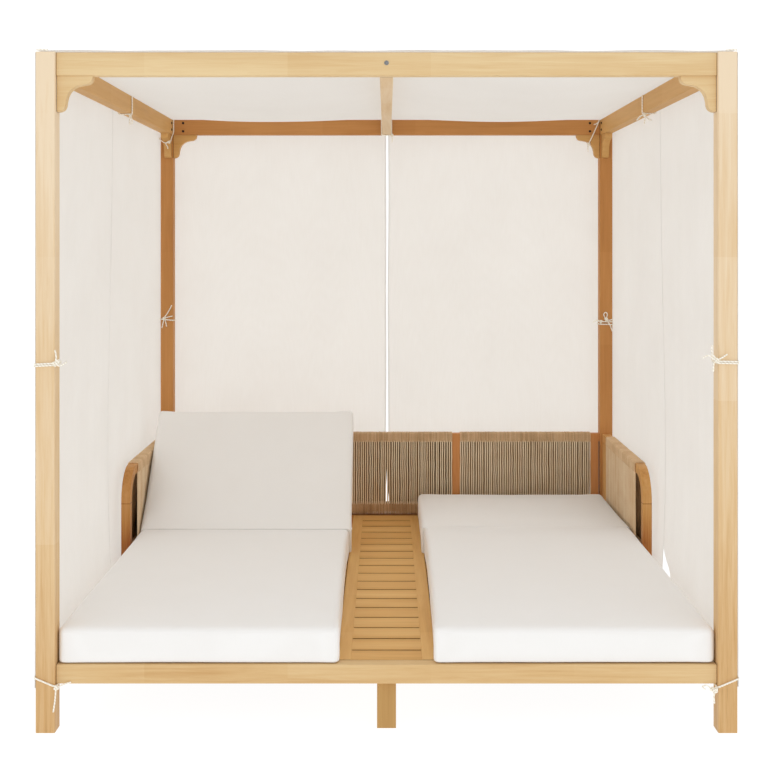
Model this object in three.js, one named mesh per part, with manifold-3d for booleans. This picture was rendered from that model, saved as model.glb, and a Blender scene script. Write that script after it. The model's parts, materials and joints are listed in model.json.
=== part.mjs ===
// Outdoor daybed with a canopy: two reclining loungers on one slatted deck, roofed and curtained in canvas.
// Millimetres. +X to the right, +Y to the back, +Z up. The origin is on the ground under the middle.
import * as THREE from 'three';
import Module from 'manifold-3d';
import { mergeVertices } from 'three/addons/utils/BufferGeometryUtils.js';

const wasm = await Module();
wasm.setup();

// Overall size and the timbers of the frame
const frameWidth = 2050;
const frameDepth = 2050;
const frameHeight = 1990;
const postSide = 56;
const beamThick = 42;
const beamHigh = 68;
const rafterWide = 40;
const easedEdge = 2;
const glueLine = 0.3;
const bracketReach = 106;
const bracketThick = 30;

// Base rails, legs and deck
const deckTop = 195;
const railHigh = 56;
const railThick = 42;
const walkwayWide = 210;
const stringerThick = 45;
const slatThick = 15;
const slatGap = 7;
const slatEndGap = 1;
const walkwaySlatWide = 101.9;
const battenWide = 20;
const battenHigh = 20;
const bedBattenWide = 30;
const bedBattenHigh = 38;
const bedSlatWide = 104;
const bearerWide = 40;
const bearerHigh = 44;
const centreLegSide = 56;
const centreLegInset = 37;

// Mattresses
const padThick = 107;
const padCrown = 5;
const padEdgeRadius = 28;
const padCreaseRadius = 9;
const padBulge = 4;
const padFrontInset = 18;
const seatPadOverlap = 9;
const seatPadSideGap = 2;
const backPadLong = 649;
const backPadOverlap = 8;
const backPadRearGap = 44;
const foldLong = 125;
const foldInset = 2;
const padClearance = 0.4;

// Reclining backs: hinge, prop and notched rack
const hingeDrop = 25;
const hingeBehindCrease = 15;
const hingeRodRadius = 5;
const pinClearance = 0.3;
const rodBlindDepth = 30;
const propArm = 290;
const propLegWide = 22;
const propLegHigh = 18;
const propFootRadius = 8;
const propPinRadius = 5;
const propPinLong = 24;
const sideClearance = 3;
const backStileWide = 40;
const backEndGap = 8;
const backEndRailThick = 40;
const backSlatCount = 5;
const backSlatGap = 20;
const backFirstSlat = 14;
const tenon = 8;
const reclineAngles = [25, 36, 47, 56];
const raisedNotch = 2;
const rackWide = 40;
const rackFootGap = 0.5;
const notchDeep = 7;
const notchRamp = 26;
const rackEndLong = 26;

// Roped back panel and arms
const panelThick = 34;
const panelRailHigh = 34;
const panelBottomGap = 17;
const panelTop = 564;
const panelStileWide = 34;
const panelEndSlot = 6;
const panelStileX = 316;
const armLong = 883;
const armFrontStile = 34;
const armRearStile = 20;
const armCornerRadius = 125;
const armHandGap = 106;
const armRearGap = 88;
const ropeDiameter = 5.5;
const ropePitch = 13.2;
const ropeCover = 4.7;

// Canvas
const curtainThick = 1.6;
const roofThick = 2;
const roofOverlap = 7;
const roofSag = 50;
const curtainTopGap = 2;
const curtainBottom = 134;
const curtainSlit = 7;
const curtainMeetGap = 2;
const curtainFoldDepth = 7;
const curtainBillow = 16;
const curtainFoldPitch = 310;

const quarterTurn = Math.PI / 2;
const roundSides = 20;
const curveSteps = 5;
const weldDistance = padClearance / 1000;
const cutOverrun = tenon;

const halfWidth = frameWidth / 2;
const halfDepth = frameDepth / 2;
const innerX = halfWidth - postSide;
const innerY = halfDepth - postSide;
const railBottom = deckTop - railHigh;
const beamCentreX = innerX + beamThick / 2;
const beamCentreY = innerY + beamThick / 2;
const beamCentreZ = frameHeight - beamHigh / 2;
const railCentreX = innerX + railThick / 2;
const railCentreY = innerY + railThick / 2;
const railCentreZ = deckTop - railHigh / 2;
const stringerInner = walkwayWide / 2;
const stringerOuter = stringerInner + stringerThick;
const loungerCentre = (stringerOuter + innerX) / 2;
const loungerWide = innerX - stringerOuter;
const creaseY = innerY - backPadRearGap - backPadLong;
const hingeY = creaseY + hingeBehindCrease;
const hingeZ = deckTop - hingeDrop;
const raisedTilt = THREE.MathUtils.degToRad(reclineAngles[raisedNotch]);
const padBase = deckTop + glueLine;
const padFront = -halfDepth + padFrontInset;
const seatPadInner = stringerOuter - seatPadOverlap;
const backPadInner = stringerOuter - backPadOverlap;
const backPadWide = innerX - backPadInner;
const seatPadWide = innerX - seatPadSideGap - seatPadInner;
const panelCentreY = halfDepth - postSide / 2;
const panelCentreX = halfWidth - postSide / 2;
const panelBottom = deckTop + panelBottomGap;
const armFront = innerY - armLong;
const armRopeFront = armFront + armFrontStile + armHandGap;

// Finishes
const honeyWood = new THREE.MeshStandardMaterial({ color: 0xd9b483, roughness: 0.55, metalness: 0 });
const deckWood = new THREE.MeshStandardMaterial({ color: 0xcaa06c, roughness: 0.6, metalness: 0 });
const turnedWood = new THREE.MeshStandardMaterial({ color: 0xb88a55, roughness: 0.6, metalness: 0 });
const steel = new THREE.MeshStandardMaterial({ color: 0xb9bbbd, roughness: 0.35, metalness: 1 });
const rope = new THREE.MeshStandardMaterial({ color: 0xb4a183, roughness: 0.9, metalness: 0 });
const padCover = new THREE.MeshStandardMaterial({ color: 0xebe5da, roughness: 0.95, metalness: 0 });
const canvas = new THREE.MeshStandardMaterial({ color: 0xe9e4dd, roughness: 0.9, metalness: 0 });

const daybed = new THREE.Group();

// Places a named piece in its group, in a material of its own
function add(parent, name, geometry, material, x, y, z) {
  const mesh = new THREE.Mesh(geometry, material.clone());
  mesh.name = name;
  mesh.position.set(x, y, z);
  parent.add(mesh);
  return mesh;
}

// Closed geometry to a solid that can be joined and cut, and back
function solidOf(geometry) {
  const bare = geometry.clone();
  bare.deleteAttribute('normal');
  bare.deleteAttribute('uv');
  const welded = mergeVertices(bare, weldDistance);
  const vertProperties = new Float32Array(welded.attributes.position.array);
  const triVerts = new Uint32Array(welded.index.array);
  return new wasm.Manifold(new wasm.Mesh({ numProp: 3, vertProperties, triVerts }));
}

function geometryOf(solid) {
  const mesh = solid.getMesh();
  const geometry = new THREE.BufferGeometry();
  geometry.setAttribute('position', new THREE.BufferAttribute(mesh.vertProperties, 3));
  geometry.setIndex(new THREE.BufferAttribute(mesh.triVerts, 1));
  geometry.computeVertexNormals();
  return geometry;
}

function joined(geometries) {
  const solids = geometries.map(solidOf);
  return geometryOf(solids.reduce((sum, solid) => sum.add(solid)));
}

function cut(geometry, tools) {
  return geometryOf(tools.map(solidOf).reduce((left, tool) => left.subtract(tool), solidOf(geometry)));
}

// A squared timber with eased edges, lying along its longest side
function timber(alongX, alongY, alongZ) {
  const longest = Math.max(alongX, alongY, alongZ);
  if (longest === alongX) return easedBar(alongZ, alongY, alongX).rotateY(quarterTurn);
  if (longest === alongY) return easedBar(alongX, alongZ, alongY).rotateX(-quarterTurn);
  return easedBar(alongX, alongY, alongZ);
}

function easedBar(wide, high, long) {
  const x = wide / 2;
  const y = high / 2;
  const e = easedEdge;
  const upper = [[x, e - y], [x, y - e], [x - e, y], [e - x, y]];
  const corners = [...upper, ...upper.map(([a, b]) => [-a, -b])];
  const section = new THREE.Shape(corners.map(([a, b]) => new THREE.Vector2(a, b)));
  return new THREE.ExtrudeGeometry(section, { depth: long, bevelEnabled: false }).translate(0, 0, -long / 2);
}

function box(wide, long, high, x, y, z) {
  return new THREE.BoxGeometry(wide, long, high).translate(x, y, z);
}

// An outline in the YZ plane made thick along X, and one in the XZ plane made thick along Y
function acrossX(shape, thick) {
  const options = { depth: thick, bevelEnabled: false, curveSegments: curveSteps };
  const solid = new THREE.ExtrudeGeometry(shape, options).translate(0, 0, -thick / 2);
  return solid.rotateX(quarterTurn).rotateZ(quarterTurn);
}

function acrossY(shape, thick) {
  const options = { depth: thick, bevelEnabled: false, curveSegments: curveSteps };
  return new THREE.ExtrudeGeometry(shape, options).translate(0, 0, -thick / 2).rotateX(quarterTurn);
}

function rodAlongX(radius, long, x, y, z) {
  return new THREE.CylinderGeometry(radius, radius, long, roundSides).rotateZ(quarterTurn).translate(x, y, z);
}

function outline(points) {
  return new THREE.Shape(points.map(([a, b]) => new THREE.Vector2(a, b)));
}

const sides = [['left', -1], ['right', 1]];
const ends = [['front', -1], ['rear', 1]];

// Four full-height posts
function addPosts() {
  for (const [end, alongY] of ends) {
    for (const [side, alongX] of sides) {
      const x = alongX * (halfWidth - postSide / 2);
      const y = alongY * (halfDepth - postSide / 2);
      const post = timber(postSide, postSide, frameHeight);
      add(daybed, `${end}_${side}_post`, post, honeyWood, x, y, frameHeight / 2);
    }
  }
}

// Top beams between the posts, and the rafter that carries the roof down the middle
function addBeams() {
  const long = 2 * innerX - 2 * glueLine;
  const deep = 2 * innerY - 2 * glueLine;
  for (const [end, alongY] of ends) {
    const beam = timber(long, beamThick, beamHigh);
    add(daybed, `${end}_beam`, beam, honeyWood, 0, alongY * beamCentreY, beamCentreZ);
  }
  for (const [side, alongX] of sides) {
    const beam = timber(beamThick, deep, beamHigh);
    add(daybed, `${side}_beam`, beam, honeyWood, alongX * beamCentreX, 0, beamCentreZ);
  }
  add(daybed, 'centre_rafter', timber(rafterWide, deep, beamHigh), honeyWood, 0, 0, beamCentreZ);
}

// Ogee brackets: a convex toe at each tip and a hollow between, as shares of the reach
const toeDropShare = 0.25;
const toeShare = 0.72;
const hollowShare = 0.3;

function bracketOutline() {
  const r = bracketReach - glueLine;
  const shape = new THREE.Shape();
  shape.moveTo(glueLine, -glueLine);
  shape.lineTo(glueLine, -r);
  shape.quadraticCurveTo(r * toeDropShare, -r, r * toeDropShare, -r * toeShare);
  shape.quadraticCurveTo(r * hollowShare, -r * hollowShare, r * toeShare, -r * toeDropShare);
  shape.quadraticCurveTo(r, -r * toeDropShare, r, -glueLine);
  return shape;
}

function addBrackets() {
  const underBeam = frameHeight - beamHigh;
  for (const [end, alongY] of ends) {
    for (const [side, alongX] of sides) {
      const shape = acrossY(bracketOutline(), bracketThick);
      const name = `${end}_${side}_bracket`;
      const [x, y] = [alongX * innerX, alongY * innerY];
      const widthways = add(daybed, `${name}_x`, shape, honeyWood, x, alongY * beamCentreY, underBeam);
      widthways.rotation.z = alongX < 0 ? 0 : 2 * quarterTurn;
      const deepways = add(daybed, `${name}_y`, shape, honeyWood, alongX * beamCentreX, y, underBeam);
      deepways.rotation.z = -alongY * quarterTurn;
    }
  }
}

// Base rails; the side rails and the stringers are bored for the hinge rods
function hingeBore(long, x, y, z) {
  return rodAlongX(hingeRodRadius + pinClearance, long, x, y, z);
}

function addBase() {
  const long = 2 * innerX - 2 * glueLine;
  const deep = 2 * innerY - 2 * glueLine;
  const boreZ = hingeZ - railCentreZ;
  for (const [end, alongY] of ends) {
    const rail = timber(long, railThick, railHigh);
    add(daybed, `${end}_rail`, rail, honeyWood, 0, alongY * railCentreY, railCentreZ);
    addCentreLeg(`${end}_centre_leg`, alongY);
  }
  for (const [side, alongX] of sides) {
    const railBore = hingeBore(2 * rodBlindDepth, -alongX * railThick / 2, hingeY, boreZ);
    const rail = cut(timber(railThick, deep, railHigh), [railBore]);
    add(daybed, `${side}_rail`, rail, honeyWood, alongX * railCentreX, 0, railCentreZ);
    const stringerBore = hingeBore(2 * rodBlindDepth, alongX * stringerThick / 2, hingeY, boreZ);
    const stringer = cut(timber(stringerThick, deep, railHigh), [stringerBore]);
    const x = alongX * (stringerInner + stringerThick / 2);
    add(daybed, `${side}_stringer`, stringer, deckWood, x, 0, railCentreZ);
  }
}

// A centre leg stands under its rail and runs up behind it to the slats
function addCentreLeg(name, alongY) {
  const outer = halfDepth - centreLegInset;
  const inner = outer - centreLegSide;
  const behindRail = innerY - glueLine;
  const top = deckTop - slatThick - glueLine;
  const shoulder = railBottom - glueLine;
  const notch = [[outer, shoulder], [behindRail, shoulder], [behindRail, top]];
  const shape = outline([[inner, 0], [outer, 0], ...notch, [inner, top]]);
  const leg = add(daybed, name, acrossX(shape, centreLegSide), honeyWood, 0, 0, 0);
  leg.rotation.z = alongY > 0 ? 0 : 2 * quarterTurn;
}

// Cross bearers under the rails and stringers: one for the seats, two for the racks and lowered backs
const rackFirst = 2 * propArm * Math.cos(THREE.MathUtils.degToRad(Math.max(...reclineAngles)));
const rackLast = 2 * propArm * Math.cos(THREE.MathUtils.degToRad(Math.min(...reclineAngles)));
const rackFront = hingeY + rackFirst - notchRamp - rackEndLong;
const rackRear = hingeY + rackLast + propFootRadius + rackEndLong;
const seatBearerShare = 0.5;

function addBearers() {
  const long = 2 * (innerX + railThick);
  const seatY = -innerY + (hingeY + innerY) * seatBearerShare;
  const frontY = rackFront + bearerWide / 2;
  const rearY = rackRear - bearerWide / 2;
  const places = [['seat', seatY], ['rack_front', frontY], ['rack_rear', rearY]];
  for (const [name, y] of places) {
    const z = railBottom - glueLine - bearerHigh / 2;
    add(daybed, `${name}_bearer`, timber(long, bearerWide, bearerHigh), turnedWood, 0, y, z);
  }
}

// The walkway between the loungers: slats on two battens, with a narrower slat at the front
function addWalkway() {
  const wide = walkwayWide - 2 * glueLine;
  const rear = innerY - glueLine;
  const front = -rear;
  const pitch = walkwaySlatWide + slatGap;
  const slatZ = deckTop - slatThick / 2;
  const pieces = [];
  for (let edge = rear - slatEndGap; edge > front + slatGap; edge -= pitch) {
    const near = Math.max(edge - walkwaySlatWide, front + slatEndGap);
    pieces.push(box(wide - 2 * slatEndGap, edge - near, slatThick, 0, (edge + near) / 2, slatZ));
  }
  for (const [, alongX] of sides) {
    const x = alongX * (wide - battenWide) / 2;
    const high = battenHigh + slatThick / 2;
    pieces.push(box(battenWide, rear - front, high, x, 0, slatZ - high / 2));
  }
  add(daybed, 'walkway_deck', joined(pieces), deckWood, 0, 0, 0);
}

// A lounger's fixed seat deck: slats on three battens
function addSeatDecks() {
  const wide = loungerWide - 2 * glueLine;
  const front = -innerY + glueLine;
  const rear = hingeY - railHigh + hingeDrop - sideClearance;
  const run = rear - front - 2 * slatEndGap + slatGap;
  const slats = Math.round(run / (bedSlatWide + slatGap));
  const pitch = run / slats;
  const slatZ = deckTop - slatThick / 2;
  for (const [side, alongX] of sides) {
    const pieces = [];
    for (let i = 0; i < slats; i += 1) {
      const y = front + slatEndGap + i * pitch + (pitch - slatGap) / 2;
      pieces.push(box(wide - 2 * slatEndGap, pitch - slatGap, slatThick, 0, y, slatZ));
    }
    for (const across of [-1, 0, 1]) {
      const high = bedBattenHigh + slatThick / 2;
      const x = across * (wide - bedBattenWide) / 2;
      pieces.push(box(bedBattenWide, rear - front, high, x, (front + rear) / 2, slatZ - high / 2));
    }
    add(daybed, `${side}_seat_deck`, joined(pieces), deckWood, alongX * loungerCentre, 0, 0);
  }
}

// A back frame turns about the hinge rod: two stiles, slats between them and an end rail.
// Its outlines are measured from the hinge axis, along the frame and up from it.
const backLong = innerY - backEndGap - hingeY;
const stileTop = hingeDrop;
const stileBottom = hingeDrop - railHigh;
const stileNose = -stileBottom;
const stileX = loungerWide / 2 - sideClearance - backStileWide / 2;
const innerWide = 2 * (stileX - backStileWide / 2);

function stileOutline() {
  const noseTop = Math.PI - Math.asin(stileTop / stileNose);
  const shape = new THREE.Shape();
  shape.moveTo(0, stileBottom);
  shape.lineTo(backLong, stileBottom);
  shape.lineTo(backLong, stileTop);
  shape.lineTo(stileNose * Math.cos(noseTop), stileTop);
  shape.absarc(0, 0, stileNose, noseTop, 3 * quarterTurn, false);
  return shape;
}

function backFrame() {
  const pieces = [];
  for (const [, alongX] of sides) {
    const bores = [
      hingeBore(backStileWide + 2 * cutOverrun, 0, 0, 0),
      rodAlongX(propPinRadius + pinClearance, backStileWide + 2 * cutOverrun, 0, propArm, 0),
    ];
    pieces.push(cut(acrossX(stileOutline(), backStileWide), bores).translate(alongX * stileX, 0, 0));
  }
  const slatWide = innerWide + 2 * tenon;
  const pitch = (backLong - backEndRailThick - backFirstSlat) / backSlatCount;
  for (let i = 0; i < backSlatCount; i += 1) {
    const long = pitch - backSlatGap;
    const y = backFirstSlat + i * pitch + long / 2;
    pieces.push(box(slatWide, long, slatThick, 0, y, stileTop - slatThick / 2));
  }
  const endZ = (stileTop + stileBottom) / 2;
  pieces.push(box(slatWide, backEndRailThick, railHigh, 0, backLong - backEndRailThick / 2, endZ));
  return joined(pieces);
}

// The prop: two legs with pivot pins glued in, and a dowel foot across their far ends
function prop() {
  const legX = innerWide / 2 - sideClearance - propLegWide / 2;
  const end = propLegHigh / 2;
  const leg = new THREE.Shape();
  leg.moveTo(0, -end);
  leg.lineTo(propArm, -end);
  leg.absarc(propArm, 0, end, -quarterTurn, quarterTurn, false);
  leg.lineTo(0, end);
  leg.absarc(0, 0, end, quarterTurn, 3 * quarterTurn, false);
  const pieces = [rodAlongX(propFootRadius, 2 * legX, 0, propArm, 0)];
  for (const [, alongX] of sides) {
    pieces.push(acrossX(leg, propLegWide).translate(alongX * legX, 0, 0));
    pieces.push(rodAlongX(propPinRadius, propPinLong + propLegWide, alongX * (legX + propPinLong / 2), 0, 0));
  }
  return joined(pieces);
}

// A sawtooth rack: the foot's stop stands behind each notch and a ramp leads down to it from the front
function rackOutline() {
  const top = hingeZ - propFootRadius - rackFootGap;
  const floor = top - notchDeep;
  const points = [[rackFront, railBottom], [rackRear, railBottom], [rackRear, top]];
  for (const angle of [...reclineAngles].sort((a, b) => a - b)) {
    const foot = hingeY + 2 * propArm * Math.cos(THREE.MathUtils.degToRad(angle));
    const stop = foot + propFootRadius + pinClearance;
    points.push([stop, top], [stop, floor], [foot - propFootRadius / 2, floor], [foot - notchRamp, top]);
  }
  points.push([rackFront, top]);
  return outline(points);
}

function addReclining() {
  for (const [side, alongX] of sides) {
    const tilt = side === 'left' ? raisedTilt : 0;
    const x = alongX * loungerCentre;
    add(daybed, `${side}_prop_rack`, acrossX(rackOutline(), rackWide), turnedWood, x, 0, 0);
    const rodLong = loungerWide + 2 * (rodBlindDepth - glueLine);
    add(daybed, `${side}_hinge_rod`, rodAlongX(hingeRodRadius, rodLong, 0, 0, 0), steel, x, hingeY, hingeZ);

    const back = new THREE.Group();
    back.position.set(x, hingeY, hingeZ);
    back.rotation.x = tilt;
    daybed.add(back);
    add(back, `${side}_back_frame`, backFrame(), deckWood, 0, 0, 0);
    const swing = add(back, `${side}_prop`, prop(), turnedWood, 0, propArm, 0);
    swing.rotation.x = -2 * tilt;
    addBackPad(back, side, alongX, tilt);
    addSeatPad(side, alongX, tilt);
  }
}

// Mattress pads. Stations along a side, closer together where its edges are rounded.
const edgeShare = 0.29;
const padSteps = 3;

function stations({ low, high, lowRadius, highRadius, steps }) {
  const start = low + lowRadius;
  const end = high - highRadius;
  const list = [low, low + lowRadius * edgeShare, start];
  for (let i = 1; i < steps; i += 1) list.push(start + (end - start) * i / steps);
  list.push(end, high - highRadius * edgeShare, high);
  return list;
}

// How far a station reaches into the rounding of its edge, from the flat part's end
function rounding(value, { low, high, lowRadius, highRadius }) {
  const core = Math.min(Math.max(value, low + lowRadius), high - highRadius);
  const radius = value < core ? lowRadius : highRadius;
  return { core, radius, reach: (value - core) / radius };
}

// A pad with rounded edges, a crowned top and bulging sides; slope leans its points back by their height
function pad(wide, front, rear, frontRadius, rearRadius, slope) {
  const half = wide / 2;
  const low = padBase - hingeZ;
  const high = deckTop + padThick - hingeZ;
  const r = padEdgeRadius;
  const spans = [
    { low: -half, high: half, lowRadius: r, highRadius: r, steps: padSteps },
    { low: front, high: rear, lowRadius: frontRadius, highRadius: rearRadius, steps: padSteps },
    { low, high, lowRadius: r, highRadius: r, steps: 1 },
  ];
  const lists = spans.map(stations);
  const counts = lists.map((list) => list.length - 1);
  const geometry = new THREE.BoxGeometry(1, 1, 1, ...counts);
  const position = geometry.attributes.position;
  for (let i = 0; i < position.count; i += 1) {
    const at = [position.getX(i), position.getY(i), position.getZ(i)];
    const values = lists.map((list, axis) => list[Math.round((at[axis] + 1 / 2) * counts[axis])]);
    const edges = values.map((value, axis) => rounding(value, spans[axis]));
    const reach = edges.map((edge) => edge.reach);
    const pull = Math.max(...reach.map(Math.abs)) / (Math.hypot(...reach) || 1);
    const [x, y, z] = edges.map((edge) => edge.core + edge.radius * edge.reach * pull);
    const across = Math.sqrt(Math.max(0, 1 - (x / half) ** 2));
    const along = Math.sqrt(Math.max(0, 1 - ((2 * y - front - rear) / (rear - front)) ** 2));
    const rise = (z - low) / (high - low);
    const bulge = padBulge * along * x / half;
    position.setXYZ(i, x + bulge, y + slope(y, rise), z + padCrown * rise * across * along);
  }
  return geometryOf(solidOf(geometry));
}

// Half the tilt slopes each pad's end face where they meet at the crease
function addSeatPad(side, alongX, tilt) {
  const front = padFront - hingeY;
  const rear = -hingeBehindCrease - padClearance / 2;
  const lean = creaseLean(tilt);
  const slope = (y, rise) => -lean * rise * Math.max(0, 1 - (rear - y) / (2 * padThick));
  const geometry = pad(seatPadWide, front, rear, padEdgeRadius, padCreaseRadius, slope);
  const x = alongX * (seatPadInner + seatPadWide / 2);
  add(daybed, `${side}_seat_pad`, geometry, padCover, x, hingeY, hingeZ);
}

function creaseLean(tilt) {
  if (tilt === 0) return 0;
  return (hingeDrop + padThick) * Math.tan(tilt / 2) - hingeBehindCrease;
}

// The back pad rides on the back frame; its first stretch, the fold, squeezes at the crease
function addBackPad(back, side, alongX, tilt) {
  const x = alongX * (backPadInner + backPadWide / 2 - loungerCentre);
  const rear = backPadLong - hingeBehindCrease;
  const none = () => 0;
  const geometry = pad(backPadWide, foldLong + padClearance / 2, rear, padCreaseRadius, padEdgeRadius, none);
  add(back, `${side}_back_pad`, geometry, padCover, x, 0, 0);
  add(back, `${side}_pad_fold`, acrossX(foldOutline(tilt), backPadWide - 2 * foldInset), padCover, x, 0, 0);
}

// The fold in the frame of its own back: square when flat, a wedge when the back is raised
function foldOutline(tilt) {
  const low = padBase - hingeZ + padClearance;
  const high = deckTop + padThick - hingeZ;
  const end = foldLong - padClearance / 2;
  const start = -hingeBehindCrease + padClearance / 2;
  if (tilt === 0) return outline([[start, low], [end, low], [end, high], [start, high]]);
  const turned = (y, z) => [y * Math.cos(tilt) + z * Math.sin(tilt), z * Math.cos(tilt) - y * Math.sin(tilt)];
  const valley = -hingeBehindCrease - creaseLean(tilt) + padClearance;
  const knee = low * Math.tan(tilt / 2) + padClearance;
  return outline([turned(start, low), [knee, low], [end, low], [end, high], turned(valley, high)]);
}

// A rope net round two rails: a wound sleeve on each rail and open strands between them
function ropeNet(long) {
  const outerDeep = panelThick + 2 * ropeCover;
  const sleeveHigh = panelRailHigh + 2 * ropeCover;
  const centres = [panelBottom + panelRailHigh / 2, panelTop - panelRailHigh / 2];
  const pieces = centres.map((z) => sleeve(long, outerDeep, sleeveHigh).translate(0, 0, z));
  const strands = Math.round(long / ropePitch);
  const pitch = long / strands;
  const low = centres[0] + sleeveHigh / 2 - ropeCover / 2;
  const high = centres[1] - sleeveHigh / 2 + ropeCover / 2;
  for (let i = 0; i < strands; i += 1) {
    const x = -long / 2 + (i + 1 / 2) * pitch;
    const y = -(outerDeep - ropeDiameter) / 2 + glueLine;
    pieces.push(box(ropeDiameter, ropeDiameter, high - low, x, y, (low + high) / 2));
  }
  return joined(pieces);
}

function sleeve(long, deep, high) {
  const bore = box(long + 2 * cutOverrun, panelThick + 2 * glueLine, panelRailHigh + 2 * glueLine, 0, 0, 0);
  return cut(box(long, deep, high, 0, 0, 0), [bore]);
}

// The back panel: one glued frame of two rails and four stiles, roped in three bays.
// A narrow slot parts each end stile from its post.
function addBackPanel() {
  const half = innerX - glueLine;
  const end = half - panelEndSlot;
  const low = panelBottom + panelRailHigh;
  const high = panelTop - panelRailHigh;
  const bays = [
    ['left', panelStileWide - end, -panelStileX - panelStileWide / 2],
    ['middle', -panelStileX + panelStileWide / 2, panelStileX - panelStileWide / 2],
    ['right', panelStileX + panelStileWide / 2, end - panelStileWide],
  ];
  const blank = box(2 * half, panelThick, panelTop - panelBottom, 0, 0, (panelTop + panelBottom) / 2);
  const through = panelThick + 2 * cutOverrun;
  const openings = bays.map(([, left, right]) => {
    return box(right - left, through, high - low, (left + right) / 2, 0, (low + high) / 2);
  });
  const slots = sides.map(([, alongX]) => {
    const wide = panelEndSlot + cutOverrun;
    return box(wide, through, high - low, alongX * (end + wide / 2), 0, (low + high) / 2);
  });
  add(daybed, 'back_panel_frame', cut(blank, [...openings, ...slots]), honeyWood, 0, panelCentreY, 0);
  for (const [bay, left, right] of bays) {
    const net = ropeNet(right - left - 2 * glueLine);
    add(daybed, `back_rope_${bay}`, net, rope, (left + right) / 2, panelCentreY, 0);
  }
}

// An arm: a bow of top rail and front stile with a round corner, and a bottom rail, roped along most of it
function armOutline() {
  const rear = innerY - glueLine;
  const foot = deckTop + glueLine;
  const inner = armCornerRadius - armFrontStile;
  const low = panelBottom + panelRailHigh;
  const high = panelTop - panelRailHigh;
  const front = armFront + armFrontStile;
  const shape = new THREE.Shape();
  shape.moveTo(armFront, foot);
  shape.lineTo(front, foot);
  shape.lineTo(front, panelBottom);
  shape.lineTo(rear, panelBottom);
  shape.lineTo(rear, panelTop);
  shape.lineTo(armFront + armCornerRadius, panelTop);
  const bowZ = panelTop - armCornerRadius;
  shape.absarc(armFront + armCornerRadius, bowZ, armCornerRadius, quarterTurn, 2 * quarterTurn, false);
  const opening = new THREE.Path();
  opening.moveTo(front, low);
  opening.lineTo(rear - armRearStile, low);
  opening.lineTo(rear - armRearStile, high);
  opening.lineTo(front + inner, high);
  opening.absarc(front + inner, high - inner, inner, quarterTurn, 2 * quarterTurn, false);
  shape.holes.push(opening);
  return shape;
}

function addArms() {
  const ropeRear = innerY - armRearStile - armRearGap;
  for (const [side, alongX] of sides) {
    add(daybed, `${side}_arm_frame`, acrossX(armOutline(), panelThick), honeyWood, alongX * panelCentreX, 0, 0);
    const middle = (armRopeFront + ropeRear) / 2;
    const strung = ropeNet(ropeRear - armRopeFront);
    const net = add(daybed, `${side}_arm_rope`, strung, rope, alongX * panelCentreX, middle, 0);
    net.rotation.z = -alongX * quarterTurn;
  }
}

// A sheet of cloth: a grid of places on its outer face, and the same grid moved away by its thickness
function cloth(columns, rows, place, away) {
  const spots = [];
  for (const face of [0, 1]) {
    for (let j = 0; j <= rows; j += 1) {
      for (let i = 0; i <= columns; i += 1) {
        spots.push(...place(i / columns, j / rows).addScaledVector(away, face).toArray());
      }
    }
  }
  const wide = columns + 1;
  const back = wide * (rows + 1);
  const triangles = [];
  const quad = (a, b, c, d) => triangles.push(a, b, c, a, c, d);
  for (let j = 0; j < rows; j += 1) {
    for (let i = 0; i < columns; i += 1) {
      const a = j * wide + i;
      quad(a, a + 1, a + 1 + wide, a + wide);
      quad(back + a, back + a + wide, back + a + 1 + wide, back + a + 1);
    }
    const left = j * wide;
    const right = left + columns;
    quad(left + wide, back + left + wide, back + left, left);
    quad(right, back + right, back + right + wide, right + wide);
  }
  for (let i = 0; i < columns; i += 1) {
    const top = rows * wide + i;
    quad(i, back + i, back + i + 1, i + 1);
    quad(top + 1, back + top + 1, back + top, top);
  }
  const geometry = new THREE.BufferGeometry();
  geometry.setAttribute('position', new THREE.Float32BufferAttribute(spots, 3));
  geometry.setIndex(triangles);
  geometry.computeVertexNormals();
  return geometry;
}

// The roof lies over the beams and the rafter and sags in each bay between them
const roofDepthShares = [-1, -0.8, -0.45, 0, 0.45, 0.8, 1];
const roofBaySteps = 5;

function addRoof() {
  const ridge = rafterWide / 2;
  const bay = (innerX - ridge) / roofBaySteps;
  const xs = [ridge];
  for (let i = 1; i <= roofBaySteps; i += 1) xs.push(ridge + i * bay);
  xs.push(innerX + beamThick + roofOverlap);
  const across = [...xs.map((x) => -x).reverse(), ...xs];
  const end = innerY + beamThick + roofOverlap;
  const deep = [-end, ...roofDepthShares.map((share) => share * innerY), end];
  const place = (u, v) => {
    const x = across[Math.round(u * (across.length - 1))];
    const y = deep[Math.round(v * (deep.length - 1))];
    const inBay = (Math.abs(x) - ridge) / (innerX - ridge);
    const hang = Math.max(0, 4 * inBay * (1 - inBay)) * Math.max(0, 1 - (y / innerY) ** 4);
    return new THREE.Vector3(x, y, frameHeight + glueLine - roofSag * hang);
  };
  const roof = cloth(across.length - 1, deep.length - 1, place, new THREE.Vector3(0, 0, -roofThick));
  add(daybed, 'roof_canvas', roof, canvas, 0, 0, roofThick);
}

const curtainColumns = 12;
const curtainRows = 4;

// A curtain hangs in soft folds clear of the posts and swells out below the middle.
// Its outline runs from one upright edge to the other, in the XZ plane with its outer face to +Y.
function curtain(wide) {
  const top = frameHeight - curtainTopGap;
  const folds = Math.round(wide / curtainFoldPitch);
  const place = (u, v) => {
    const z = curtainBottom + (top - curtainBottom) * v;
    const billow = curtainBillow * Math.sin(Math.PI * (1 - v) ** 2) * Math.sin(Math.PI * u);
    const fold = curtainFoldDepth * Math.sin(Math.PI * folds * u) ** 2 * (1 - v / 2);
    return new THREE.Vector3((1 / 2 - u) * wide, curtainThick + billow + fold, z);
  };
  return cloth(curtainColumns, curtainRows, place, new THREE.Vector3(0, -curtainThick, 0));
}

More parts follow.
